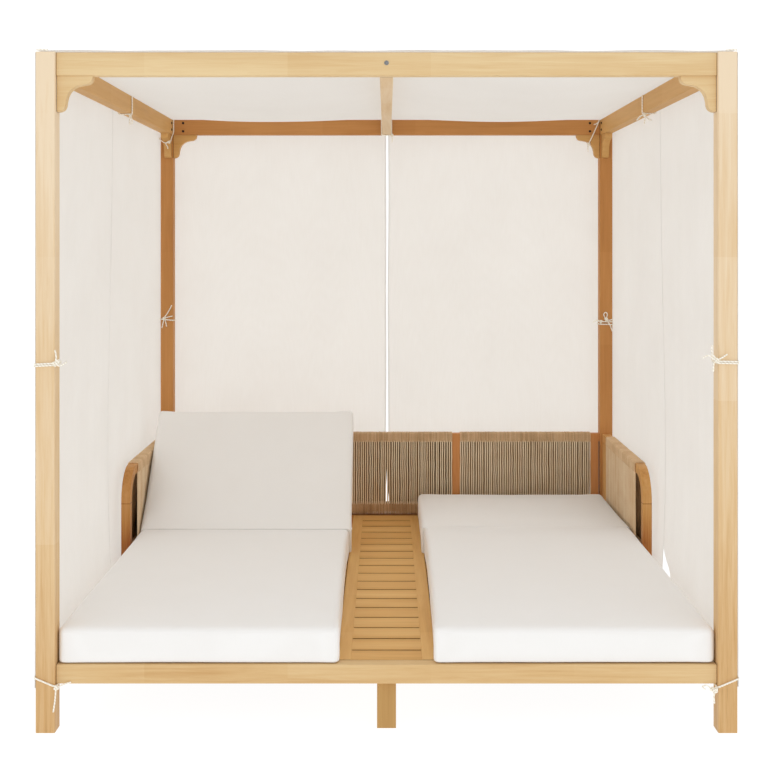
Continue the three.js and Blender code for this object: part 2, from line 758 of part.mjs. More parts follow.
function addCurtains() {
  const rearWide = halfWidth - curtainSlit / 2;
  const sideWide = halfDepth - curtainMeetGap / 2;
  for (const [side, alongX] of sides) {
    const x = alongX * (halfWidth + curtainSlit / 2) / 2;
    add(daybed, `rear_${side}_curtain`, curtain(rearWide), canvas, x, halfDepth + glueLine, 0);
    for (const [end, alongY] of ends) {
      const y = alongY * (halfDepth + curtainMeetGap / 2) / 2;
      const face = alongX * (halfWidth + glueLine);
      const sheet = add(daybed, `${side}_${end}_curtain`, curtain(sideWide), canvas, face, y, 0);
      sheet.rotation.z = -alongX * quarterTurn;
    }
  }
}

addPosts();
addBeams();
addBrackets();
addBase();
addBearers();
addWalkway();
addSeatDecks();
addReclining();
addBackPanel();
addArms();
addRoof();
addCurtains();

export default daybed;
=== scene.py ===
"""Dresses the outdoor canopy daybed: timber finishes, ropes, mattresses, canvas, string ties and bolts."""

import json
import math

import bmesh
import bpy
import numpy as np
from mathutils import Matrix, Vector, noise


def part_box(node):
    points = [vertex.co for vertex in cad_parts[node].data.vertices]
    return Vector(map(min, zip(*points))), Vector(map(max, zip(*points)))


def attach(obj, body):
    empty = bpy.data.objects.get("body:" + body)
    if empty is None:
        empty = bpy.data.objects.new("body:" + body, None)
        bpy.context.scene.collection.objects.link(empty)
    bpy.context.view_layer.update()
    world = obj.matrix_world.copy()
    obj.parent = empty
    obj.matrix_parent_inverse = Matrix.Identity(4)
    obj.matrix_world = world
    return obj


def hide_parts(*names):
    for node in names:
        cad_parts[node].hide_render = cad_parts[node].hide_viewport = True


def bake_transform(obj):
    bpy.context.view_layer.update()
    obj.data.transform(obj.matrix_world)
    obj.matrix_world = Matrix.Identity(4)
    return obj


bl_info = {
    "name": "Canopy Daybed",
    "version": (1, 0, 0),
    "blender": (4, 5, 0),
    "location": "View3D > Sidebar > Daybed",
    "description": "Timber, rope, mattresses and canvas of an outdoor daybed with a canopy",
    "category": "Object",
}

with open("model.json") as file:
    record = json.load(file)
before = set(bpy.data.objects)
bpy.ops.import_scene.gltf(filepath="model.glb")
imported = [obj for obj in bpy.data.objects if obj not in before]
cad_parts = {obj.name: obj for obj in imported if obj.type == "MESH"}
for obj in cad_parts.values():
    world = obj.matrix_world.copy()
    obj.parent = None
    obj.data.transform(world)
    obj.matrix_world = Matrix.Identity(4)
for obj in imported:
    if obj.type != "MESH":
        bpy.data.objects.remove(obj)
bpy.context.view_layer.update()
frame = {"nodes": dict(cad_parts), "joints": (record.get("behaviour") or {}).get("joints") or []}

FRAME_BODY = "daybed"
X, Y, Z = 0, 1, 2
SIDES = (("left", -1), ("right", 1))
ENDS = (("front", -1), ("rear", 1))

post_low, post_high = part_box("front_right_post")
OUTER = post_high.x
INNER = post_low.x
FRAME_TOP = post_high.z
DECK_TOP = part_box("walkway_deck")[1].z
HINGES = {joint["name"]: joint for joint in frame["joints"]}


# Colours and nodes

def linear(hex_colour):
    """An sRGB hex colour as linear red, green, blue and an alpha of one"""
    parts = [int(hex_colour[i : i + 2], 16) / 255 for i in (1, 3, 5)]
    return (*[c / 12.92 if c <= 0.04045 else ((c + 0.055) / 1.055) ** 2.4 for c in parts], 1.0)


def colour_property(name, description, default):
    return bpy.props.FloatVectorProperty(
        name=name, description=description, default=linear(default)[:3], subtype="COLOR", min=0, max=1
    )


def length_property(name, description, default, low=0.0):
    return bpy.props.FloatProperty(
        name=name, description=description, default=default, min=low, unit="LENGTH", precision=4
    )


def put(tree, kind, inputs=(), **settings):
    """Adds a node, sets its properties, and gives its inputs values or the sockets that feed them"""
    node = tree.nodes.new(kind)
    for name, value in settings.items():
        setattr(node, name, value)
    for key, value in dict(inputs).items():
        if isinstance(value, bpy.types.NodeSocket):
            tree.links.new(value, node.inputs[key])
        else:
            node.inputs[key].default_value = value
    return node


def made(tree, kind, inputs=(), **settings):
    """The first output of a new node"""
    return put(tree, kind, inputs, **settings).outputs[0]


def maths_in(tree):
    """A function that adds a maths node to the tree and returns its result"""
    return lambda operation, *values: made(tree, "ShaderNodeMath", dict(enumerate(values)), operation=operation)


def new_material(name):
    """A material with its empty tree, and the object's own coordinates in metres"""
    material = bpy.data.materials.new(name)
    material.use_nodes = True
    tree = material.node_tree
    tree.nodes.clear()
    return material, tree, put(tree, "ShaderNodeTexCoord").outputs["Object"]


def surface(tree, inputs, light_through=0.0):
    """Ends a material's tree in a shader with these inputs, which lets a share of the light pass"""
    shader = made(tree, "ShaderNodeBsdfPrincipled", inputs)
    if light_through:
        through = made(tree, "ShaderNodeBsdfTranslucent", {"Color": inputs["Base Color"]})
        shader = made(tree, "ShaderNodeMixShader", {"Fac": light_through, 1: shader, 2: through})
    put(tree, "ShaderNodeOutputMaterial", {"Surface": shader})


def ramp(tree, factor, stops):
    """A colour ramp through (position, colour) stops"""
    node = put(tree, "ShaderNodeValToRGB", {"Fac": factor})
    elements = node.color_ramp.elements
    elements[0].position, elements[0].color = stops[0]
    elements[1].position, elements[1].color = stops[-1]
    for position, colour in stops[1:-1]:
        elements.new(position).color = colour
    return node.outputs["Color"]


def stretched_noise(tree, place, scale, detail=3.0, rough=0.5, distortion=0.0):
    """Noise with one scale per metre, or with its own along each axis"""
    scale = scale if isinstance(scale, (list, tuple)) else [scale] * 3
    mapped = made(tree, "ShaderNodeMapping", {"Vector": place, "Scale": scale})
    settings = {"Vector": mapped, "Scale": 1.0, "Detail": detail, "Roughness": rough, "Distortion": distortion}
    return put(tree, "ShaderNodeTexNoise", settings).outputs["Fac"]


def thread_waves(tree, place, thread, distortion, axes):
    """Threads across each axis; at scale one, the bands of a wave texture are 2 pi / 20 apart"""
    settings = {"Vector": place, "Scale": 2 * math.pi / (20 * thread), "Distortion": distortion, "Detail": 1.0}
    return [put(tree, "ShaderNodeTexWave", settings, bands_direction=axis).outputs["Fac"] for axis in axes]


def sum_of(tree, terms, offset=0.0):
    """The weighted sum of sockets, each given as (socket, weight), and a constant"""
    maths, total = maths_in(tree), offset
    for socket, weight in terms:
        total = maths("MULTIPLY_ADD", socket, weight, total)
    return total


def bump(tree, height, distance, strength=1.0):
    """A normal that follows a height map"""
    return made(tree, "ShaderNodeBump", {"Height": height, "Distance": distance, "Strength": strength})


# Settings that a user would change

class TimberSettings(bpy.types.PropertyGroup):
    # The pale, honey and brown tones are a lit copy for the front posts and the rafter: painted light
    pale: colour_property("Pale tone", "Lightest tone of the planed front timbers", "#F0DBBC")
    honey: colour_property("Honey tone", "Main tone of the planed front timbers", "#E2C294")
    brown: colour_property("Brown tone", "Darker streaks of the front timbers", "#CFA46C")
    grain_width: length_property("Grain width", "Spacing of the grain streaks across a timber", 0.011, 0.001)
    grain_length: length_property("Grain length", "Length of a grain streak along a timber", 0.26, 0.01)
    length_of_stock: length_property("Length of stock", "Length of the jointed pieces in a timber", 0.42, 0.05)


class RopeSettings(bpy.types.PropertyGroup):
    colour: colour_property("Rope", "Main colour of the braided rope", "#DDBC93")
    # The rope shade also colours the far strands and the sleeves' lower turns, which is painted shade
    shade: colour_property("Rope shade", "Colour between the rope's braids", "#A07C55")
    diameter: length_property("Diameter", "Thickness of the rope", 0.0055, 0.001)
    wrap_pitch: length_property("Wrap pitch", "Spacing of the turns round a rail", 0.00585, 0.001)
    strand_pitch: length_property("Strand pitch", "Spacing of the open strands", 0.0101, 0.002)
    inner_pitch: length_property("Inner pitch", "Spacing of the strands on a panel's far side", 0.0052, 0.002)


class PadSettings(bpy.types.PropertyGroup):
    colour: colour_property("Cover", "Colour of the woven mattress cover", "#F7F6F4")
    shade: colour_property("Cover shade", "Darker threads of the mattress cover", "#F2F0ED")
    edge_radius: length_property("Edge radius", "Rounding of a mattress's upper edges", 0.02, 0.005)
    foot_radius: length_property("Foot radius", "Rounding of a mattress's lower edges", 0.01, 0.002)
    side_swell: length_property("Side swell", "How far a seat's outer side swells between its ends", 0.0085)
    swell_limit: length_property("Swell limit", "Most that a point moves as the cover fills", 0.011)
    thread: length_property("Thread spacing", "Spacing of the cover's threads", 0.0016, 0.0005)


class CanvasSettings(bpy.types.PropertyGroup):
    colour: colour_property("Canvas", "Colour of the roof and curtain canvas", "#F9F7F4")
    shade: colour_property("Canvas shade", "Darker threads of the canvas", "#F3F0EC")
    fold_depth: length_property("Fold depth", "Depth of the curtains' soft folds", 0.008)
    light_through: bpy.props.FloatProperty(
        name="Light through", description="Share of the light that passes a face of the canvas", default=0.79,
        min=0, max=0.9, subtype="FACTOR",
    )
    billow: length_property("Billow", "How far a curtain swells below its middle", 0.016)
    sag: length_property("Roof sag", "Sag of the roof between beam and rafter", 0.05)
    thread: length_property("Thread spacing", "Spacing of the canvas threads", 0.0012, 0.0005)


class TieSettings(bpy.types.PropertyGroup):
    colour: colour_property("String", "Colour of the cotton string", "#FFFBF0")
    diameter: length_property("Diameter", "Thickness of the string", 0.0052, 0.001)


class BoltSettings(bpy.types.PropertyGroup):
    washer_radius: length_property("Washer radius", "Radius of the washer under a bolt", 0.0068, 0.001)
    head_radius: length_property("Head radius", "Radius of the bolt's button head", 0.0042, 0.001)


class StageSettings(bpy.types.PropertyGroup):
    floor: colour_property("Floor", "Colour of the studio floor and backdrop", "#FFFFFF")
    lens: bpy.props.FloatProperty(
        name="Lens", description="Focal length of the camera", default=57.75, min=10, unit="CAMERA"
    )
    eye_height: length_property("Eye height", "Height of the camera above the floor", 1.431)
    eye_distance: length_property("Eye distance", "Distance of the camera from the daybed's middle", 4.622, 1.0)
    key_power: bpy.props.FloatProperty(
        name="Key power", description="Power of the large front light", default=40, min=0, unit="POWER"
    )
    daylight: bpy.props.FloatProperty(
        name="Daylight", description="Strength of the even light from all round", default=0.93, min=0
    )


# Timber

# The light, main and dark tone of each kind of board; most kinds are copies of one timber's tone, made lighter or
# darker by where it stands, which is painted light and shade
TONES = {
    # straw is a lit copy for the front beam, rail and brackets: painted light
    "straw": ("#E9CFA0", "#DAB681", "#C6985F"),
    "honey": ("#DDB277", "#CF9F5E", "#BC8745"),
    # deep is a darker copy for the rear posts, beam and rail: painted shade
    "deep": ("#CF9558", "#BE8348", "#A86C38"),
    # panel is a darker copy for the back panel's frame: painted shade
    "panel": ("#D99C62", "#C8854C", "#A56534"),
    # leg and under are darker copies for the set-back centre legs and the timbers under the seats: painted shade
    "leg": ("#C79E62", "#BA9056", "#A67C43"),
    "under": ("#B98450", "#A06A38", "#80502A"),
    "deck": ("#F0C783", "#DFAE68", "#C8954F"),
    # The arms' tones are darker copies of honey, the left one the darker: painted shade
    "left_arm": ("#D3A066", "#BD8548", "#9B5A28"),
    "right_arm": ("#DFB178", "#CC9757", "#AA6A32"),
}
# Painted light: how much a front timber pales towards its top, by its grain's axis
PAINTED_TOP_LIGHT = {X: 0.09, Y: 0.0, Z: 0.28}
# Where the first jointed piece starts, and the spacing that tells timbers apart across their grain
STOCK_START = 0.13
TIMBER_CELL = 0.31


def planed_timber(name, grain, tones, slat_pitch=0.0, slat_start=0.0, glue_line=0.0, painted_top_light=0.0):
    """Eucalyptus, planed, sanded and oiled: satin, with soft streaks along the grain and oil gathered at the joints;
    with painted light towards a front timber's top, and painted shade along a slat's edges and sides and below an arm's
    glue line
    """
    s = bpy.context.scene.daybed_timber
    material, tree, place = new_material(f"oiled_eucalyptus_{name}")
    maths = maths_in(tree)
    axes = put(tree, "ShaderNodeSeparateXYZ", {"Vector": place}).outputs
    if slat_pitch:
        run, spacing, start = axes[Y], slat_pitch, slat_start
    else:
        run, spacing, start = axes[grain], s.length_of_stock, STOCK_START
    steps = maths("MULTIPLY_ADD", run, 1 / spacing, -start / spacing)

    def cell(axis):
        """Tells timbers apart across their grain, as the steps tell apart the stock along it"""
        if axis == grain and not slat_pitch:
            return 0.0
        return maths("ROUND", maths("MULTIPLY", axes[axis], 1 / TIMBER_CELL))

    def along(width, length):
        scale = [1 / width] * 3
        scale[grain] = 1 / length
        return scale

    key = made(tree, "ShaderNodeCombineXYZ", {"X": maths("FLOOR", steps), "Y": cell(X), "Z": cell(Z)})
    stock = made(tree, "ShaderNodeTexWhiteNoise", {"Vector": key}, noise_dimensions="3D")
    drift = stretched_noise(tree, place, along(0.09, 0.7), 2.0)
    streak = stretched_noise(tree, place, along(s.grain_width, s.grain_length), 4.0, 0.6, 0.6)
    fibre = stretched_noise(tree, place, along(0.0016, 0.05), 3.0, 0.65)
    dark = oil_and_painted_shade(maths, tree, axes, grain, steps if slat_pitch else None, glue_line)
    terms = [(stock, 0.13), (drift, 0.5), (streak, 0.55), (fibre, 0.16), (dark, -1.0), (axes[Z], painted_top_light)]
    light, main, deep = (linear(tone) if isinstance(tone, str) else (*tone, 1.0) for tone in tones)
    # The darkest stop stands for oil at the joints and for painted shade
    oiled_and_shaded = (*[0.3 * c for c in deep[:3]], 1.0)
    surface(tree, {
        "Base Color": ramp(
            tree, sum_of(tree, terms, -0.16 - painted_top_light), [(0.0, oiled_and_shaded), (0.14, deep), (0.42, main), (0.8, light)]),
        "Roughness": sum_of(tree, [(streak, 0.12), (fibre, 0.1)], 0.42),
        "IOR": 1.45,
        "Specular IOR Level": 0.3,
        "Normal": bump(tree, sum_of(tree, [(fibre, 0.7), (streak, 0.3)]), 0.0003, 0.5),
    })
    return material


def oil_and_painted_shade(maths, tree, axes, grain, slat_steps, glue_line):
    """How dark the wood is made: by oil at a timber's tight ends and at a glue line; by painted shade towards a slat's
    edges, down its sides, and below a glue line
    """

    def eased(value, start, span):
        return made(tree, "ShaderNodeClamp", {0: maths("DIVIDE", maths("SUBTRACT", value, start), span)})

    if slat_steps is not None:
        # Painted shade: a slat is lighter in its middle and darker towards its edges, and dark down its sides below the
        # deck's top
        off_middle = maths("ABSOLUTE", maths("SUBTRACT", maths("FRACT", slat_steps), 0.5))
        painted_crown_shade = maths("MULTIPLY", maths("POWER", off_middle, 2.0), 0.9)
        below = maths("SUBTRACT", DECK_TOP, axes[Z])
        return maths("ADD", painted_crown_shade, eased(below, 0.0004, 0.001))
    if glue_line:
        off_line = maths("ABSOLUTE", maths("SUBTRACT", axes[Z], glue_line))
        line = maths("MULTIPLY", maths("SUBTRACT", 1.0, eased(off_line, 0.0, 0.0022)), 0.5)
        # Painted shade: darker below the glue line, towards the arm's foot, where y is under 0.2 m
        below = maths("MULTIPLY", eased(maths("SUBTRACT", glue_line, axes[Z]), 0.0, 0.15), 0.3)
        bow = maths("LESS_THAN", axes[Y], 0.2)
        return maths("MULTIPLY", maths("ADD", line, below), bow)
    return 0.0 if grain == Z else eased(maths("ABSOLUTE", axes[grain]), INNER - 0.0022, 0.0015)


GRAIN_OF = {
    "front_beam": X, "rear_beam": X, "front_rail": X, "rear_rail": X,
    "left_beam": Y, "right_beam": Y, "centre_rafter": Y, "left_rail": Y, "right_rail": Y,
}
for end, _ in ENDS:
    for side, _ in SIDES:
        GRAIN_OF |= {f"{end}_{side}_post": Z, f"{end}_{side}_bracket_x": X, f"{end}_{side}_bracket_y": Y}
# The timbers under the seats, which take the under tone, a darker copy: painted shade
UNDER_TIMBERS = {
    "seat_bearer": X, "rack_front_bearer": X, "rack_rear_bearer": X,
    "left_prop_rack": Y, "right_prop_rack": Y, "left_prop": Y, "right_prop": Y,
}
# The timbers whose tone isn't honey: the front ones and the rafter take lit copies, which is painted light, and the
# rear ones the darker deep copy, which is painted shade
TONE_OF = {
    "front_left_post": "pale", "front_right_post": "pale", "centre_rafter": "pale",
    "front_beam": "straw", "front_rail": "straw",
    "front_left_bracket_x": "straw", "front_right_bracket_x": "straw",
    "rear_left_post": "deep", "rear_right_post": "deep", "rear_beam": "deep", "rear_rail": "deep",
}
# Height of the arms' glue line, below which painted shade darkens the wood
ARM_GLUE_LINE = 0.434
SEAT_SLAT_PITCH = 0.1114
SEAT_SLAT_START = -0.9712


def finish_node(name, material):
    frame["nodes"][name].material_slots[0].material = material


class FinishTimbers(bpy.types.Operator):
    """Gives each timber an oiled finish with its grain along it, in a copy of its tone made lighter or darker by where
    it stands, which is painted light and shade
    """

    bl_idname = "daybed.finish_timbers"
    bl_label = "Finish timbers"

    def execute(self, context):
        s = context.scene.daybed_timber
        tones = TONES | {"pale": (s.pale, s.honey, s.brown)}
        oiled = {}
        for name, grain in GRAIN_OF.items():
            kind = (TONE_OF.get(name, "honey"), grain)
            if kind not in oiled:
                # Front timbers in the lit copies pale towards their top: painted light
                painted_top_light = PAINTED_TOP_LIGHT[grain] if kind[0] in ("pale", "straw") else 0.0
                oiled[kind] = planed_timber(f"{kind[0]}_{'xyz'[grain]}", grain, tones[kind[0]], painted_top_light=painted_top_light)
            finish_node(name, oiled[kind])
        # The back panel, the centre legs and the timbers under the seats take darker copies: painted shade
        finish_node("back_panel_frame", planed_timber("panel", Z, TONES["panel"]))
        leg = planed_timber("leg", Z, TONES["leg"])
        for end, _ in ENDS:
            finish_node(f"{end}_centre_leg", leg)
        for name, grain in UNDER_TIMBERS.items():
            finish_node(name, planed_timber(name, grain, TONES["under"]))
        deck = TONES["deck"]
        for side, _ in SIDES:
            # Each arm takes its own darker copy of the tone: painted shade
            arm = planed_timber(f"{side}_arm", Z, TONES[f"{side}_arm"], glue_line=ARM_GLUE_LINE)
            finish_node(f"{side}_arm_frame", arm)
            finish_node(f"{side}_stringer", planed_timber(f"{side}_stringer", Y, deck))
            # The seat slats take painted shade along their edges and sides
            seat = planed_timber(f"{side}_seat", X, deck, SEAT_SLAT_PITCH, SEAT_SLAT_START)
            finish_node(f"{side}_seat_deck", seat)
            finish_node(f"{side}_back_frame", planed_timber(f"{side}_back", Y, deck))
            finish_node(f"{side}_hinge_rod", zinc_steel(f"zinc_plated_rod_{side}"))
        return {"FINISHED"}


# Walkway

SLAT = 0.1019
SLAT_GAP = 0.007
SLAT_THICK = 0.015
BATTEN = 0.02
DECK_MARGIN = 0.001


def board_tree():
    """A board with eased edges at each point: its length runs along X, and the point's mark scales it"""
    tree, given = new_tree(
        "eased_boards", Geometry=["Places"], Float=["Length", "Width", "Thickness", "Easing", "Turn"],
        Material=["Timber"])
    half = maths_in(tree)("MULTIPLY", given["Length"], 0.5)
    ends = [made(tree, "ShaderNodeVectorMath", {0: (way, 0, 0), "Scale": half}, operation="SCALE") for way in (-1, 1)]
    run = made(tree, "GeometryNodeCurvePrimitiveLine", {"Start": ends[0], "End": ends[1]})
    section = made(tree, "GeometryNodeCurvePrimitiveQuadrilateral", {
        "Width": given["Width"], "Height": given["Thickness"]})
    eased = made(tree, "GeometryNodeFilletCurve", {
        "Curve": section, "Count": 3, "Radius": given["Easing"]}, mode="POLY")
    board = made(tree, "GeometryNodeCurveToMesh", {"Curve": run, "Profile Curve": eased, "Fill Caps": True})
    flat = made(tree, "GeometryNodeSetShadeSmooth", {"Geometry": board, "Shade Smooth": False})
    placed = made(tree, "GeometryNodeInstanceOnPoints", {
        "Points": given["Places"], "Instance": flat, "Scale": mark_of(tree)})
    turn = made(tree, "ShaderNodeCombineXYZ", {"Z": given["Turn"]})
    end_tree(tree, made(tree, "GeometryNodeTransform", {"Geometry": placed, "Rotation": turn}), given["Timber"])
    return tree


class LayWalkway(bpy.types.Operator):
    """Lays the slats of the walkway on their two battens"""

    bl_idname = "daybed.lay_walkway"
    bl_label = "Lay walkway"

    def execute(self, context):
        low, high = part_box("walkway_deck")
        pitch = SLAT + SLAT_GAP
        places, spans = [], []
        edge = high.y - DECK_MARGIN
        start = edge + SLAT_GAP / 2
        while edge > low.y + SLAT_GAP:
            near = max(edge - SLAT, low.y + DECK_MARGIN)
            places.append((0, (edge + near) / 2, DECK_TOP - SLAT_THICK / 2))
            spans.append((1, (edge - near) / SLAT, 1))
            edge -= pitch
        tree = board_tree()
        easing = {"Easing": 0.0012}
        # The walkway's slats take painted shade along their edges and sides
        slats = grown("walkway_slats", tree, easing | {
            "Length": 2 * (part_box("right_stringer")[0].x + DECK_MARGIN), "Width": SLAT, "Thickness": SLAT_THICK,
            "Turn": 0.0, "Timber": planed_timber("walkway", X, TONES["deck"], pitch, start),
        }, marked_points("walkway_slats", places, spans))
        tall = DECK_TOP - SLAT_THICK - low.z
        x = high.x - BATTEN / 2
        battens = grown("walkway_battens", tree, easing | {
            "Length": high.y - low.y, "Width": BATTEN, "Thickness": tall, "Turn": math.pi / 2,
            "Timber": planed_timber("battens", Y, TONES["deck"]),
        }, marked_points("walkway_battens", [(0, way * x, low.z + tall / 2) for _, way in SIDES], [(1, 1, 1)] * 2))
        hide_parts("walkway_deck")
        for piece in (slats, battens):
            keep_on_frame(piece)
        return {"FINISHED"}


# Bolts

def zinc_steel(name):
    """Steel, turned and zinc plated: grey metal with fine turning marks"""
    material, tree, place = new_material(name)
    marks = stretched_noise(tree, place, 2500, 2.0)
    cloud = stretched_noise(tree, place, 60, 2.0)
    tone = sum_of(tree, [(marks, 0.4), (cloud, 0.6)])
    surface(tree, {
        "Base Color": ramp(tree, tone, [(0.3, linear("#7E8083")), (0.7, linear("#A9ABAD"))]),
        "Metallic": 1.0,
        "Roughness": sum_of(tree, [(cloud, 0.2)], 0.25),
        "Normal": bump(tree, marks, 0.0001, 0.4),
    })
    return material


def dark_steel(name):
    """Steel with a near-black brown painted on as shade: the shaded mouth of a counterbored bolt hole"""
    material, tree, place = new_material(name)
    cloud = stretched_noise(tree, place, 300, 2.0)
    surface(tree, {
        "Base Color": ramp(tree, cloud, [(0.3, linear("#150B06")), (0.7, linear("#341C0E"))]),
        "Metallic": 0.3,
        "Roughness": 0.7,
        "Normal": bump(tree, cloud, 0.0002, 0.4),
    })
    return material


def new_tree(name, **sockets):
    """A geometry node tree and its inputs, whose names are given by the kind of their sockets"""
    tree = bpy.data.node_groups.new(name, "GeometryNodeTree")
    tree.interface.new_socket("Geometry", in_out="OUTPUT", socket_type="NodeSocketGeometry")
    for kind, labels in sockets.items():
        for label in labels:
            tree.interface.new_socket(label, in_out="INPUT", socket_type=f"NodeSocket{kind}")
    return tree, put(tree, "NodeGroupInput").outputs


def end_tree(tree, geometry, material_socket):
    """Ends a tree in plain geometry with its material"""
    real = made(tree, "GeometryNodeRealizeInstances", {"Geometry": geometry})
    painted = made(tree, "GeometryNodeSetMaterial", {"Geometry": real, "Material": material_socket})
    put(tree, "NodeGroupOutput", {"Geometry": painted})


def joined(tree, shapes):
    join = put(tree, "GeometryNodeJoinGeometry")
    for shape in shapes:
        tree.links.new(shape, join.inputs[0])
    return join.outputs[0]


def new_mesh(name, points, edges=(), faces=()):
    mesh = bpy.data.meshes.new(name)
    mesh.from_pydata([tuple(p) for p in points], edges, faces)
    return mesh


def new_object(name, data):
    """A new object in the scene"""
    thing = bpy.data.objects.new(name, data)
    bpy.context.collection.objects.link(thing)
    return thing


def keep_on_frame(piece):
    """Puts a piece on the frame's body"""
    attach(piece, FRAME_BODY)


def grown(name, tree, values, mesh=None):
    """Runs a tree on a mesh and returns its result as a plain mesh object"""
    source = new_object(name + "_source", mesh or bpy.data.meshes.new(name + "_source"))
    modifier = source.modifiers.new("shape", "NODES")
    modifier.node_group = tree
    identifiers = {i.name: i.identifier for i in tree.interface.items_tree if i.in_out == "INPUT"}
    for label, value in values.items():
        modifier[identifiers[label]] = value
    source.update_tag()
    graph = bpy.context.evaluated_depsgraph_get()
    result = bpy.data.meshes.new_from_object(source.evaluated_get(graph), depsgraph=graph)
    bpy.data.objects.remove(source)
    result.name = name
    if not result.polygons:
        raise RuntimeError(f"{name} came out empty")
    return new_object(name, result)


def marked_points(name, places, marks):
    """Loose points for a tree, each with a vector of its own"""
    mesh = new_mesh(name, places)
    mark = mesh.attributes.new("mark", "FLOAT_VECTOR", "POINT")
    mark.data.foreach_set("vector", [c for m in marks for c in m])
    return mesh


def mark_of(tree):
    return made(tree, "GeometryNodeInputNamedAttribute", {"Name": "mark"}, data_type="FLOAT_VECTOR")


WASHER_HALF = 0.0007


def bolt_tree():
    """A button head on a washer at each point, turned to face along the point's mark"""
    tree, given = new_tree("bolt_heads", Geometry=["Bolts"], Float=["Washer Radius", "Head Radius"], Material=["Metal"])
    washer = made(tree, "GeometryNodeMeshCylinder", {
        "Vertices": 28, "Radius": given["Washer Radius"], "Depth": 2 * WASHER_HALF})
    head = made(tree, "GeometryNodeMeshUVSphere", {"Segments": 24, "Rings": 12, "Radius": given["Head Radius"]})
    flat = made(tree, "GeometryNodeTransform", {
        "Geometry": head, "Scale": (1, 1, 0.55), "Translation": (0, 0, WASHER_HALF)})
    socket = made(tree, "GeometryNodeMeshCylinder", {"Vertices": 6, "Radius": 0.0019, "Depth": 0.0012})
    raised = made(tree, "GeometryNodeTransform", {"Geometry": socket, "Translation": (0, 0, 0.0026)})
    turn = made(tree, "FunctionNodeAlignRotationToVector", {"Vector": mark_of(tree)}, axis="Z")
    placed = made(tree, "GeometryNodeInstanceOnPoints", {
        "Points": given["Bolts"], "Instance": joined(tree, (washer, flat, raised)), "Rotation": turn})
    end_tree(tree, placed, given["Metal"])
    return tree


class FitBolts(bpy.types.Operator):
    """Sets the bolt heads in the beams"""

    bl_idname = "daybed.fit_bolts"
    bl_label = "Fit bolts"

    def execute(self, context):
        s = context.scene.daybed_bolts
        tree = bolt_tree()
        front, rear = (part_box(f"{end}_beam")[0].y - WASHER_HALF for end, _ in ENDS)
        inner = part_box("right_beam")[0].x - WASHER_HALF
        bright = [((0, front, 1.959), (0, -1, 0))]
        sunk = []
        for _, side in SIDES:
            sunk += [((side * 0.923, rear, z), (0, -1, 0)) for z in (1.938, 1.975)]
            sunk += [((side * inner, y, z), (-side, 0, 0)) for y in (-0.93, 0.93) for z in (1.942, 1.972)]
        for name, metal, spots, share in (
            ("bolt_heads", zinc_steel("zinc_plated_bolt"), bright, 1.0),
            # The sunk bolts are near black, which paints the shade of their counterbored holes
            ("sunk_bolts", dark_steel("bolt_hole_painted_shade"), sunk, 0.8),
        ):
            values = {"Washer Radius": s.washer_radius * share, "Head Radius": s.head_radius, "Metal": metal}
            keep_on_frame(grown(name, tree, values, marked_points(name, *zip(*spots))))
        return {"FINISHED"}


# Roped panels

def braided_rope(name):
    """Olefin rope, braided: matt beige with a fleck in each turn, drawn coarser than life so that it shows; each
    piece's stored tone paints light and shade: near strands light, far strands and lower turns dark
    """
    s = bpy.context.scene.daybed_rope
    material, tree, place = new_material(name)
    tone = put(tree, "ShaderNodeAttribute", attribute_name="tone").outputs["Fac"]
    fleck = stretched_noise(tree, place, (420, 420, 260), 3.0, 0.7)
    soft = stretched_noise(tree, place, 14, 2.0)
    mix = sum_of(tree, [(tone, 0.8), (fleck, 0.3), (soft, 0.3)], -0.3)
    # The ramp's darkest stops colour the far strands and the lower turns: painted shade
    stops = [(0.0, linear("#57401F")), (0.22, (*s.shade, 1.0)), (0.55, (*s.colour, 1.0)), (0.9, linear("#F2E0C2"))]
    surface(tree, {"Base Color": ramp(tree, mix, stops), "Roughness": 0.95, "Normal": bump(tree, fleck, 0.0008, 0.6)})
    return material


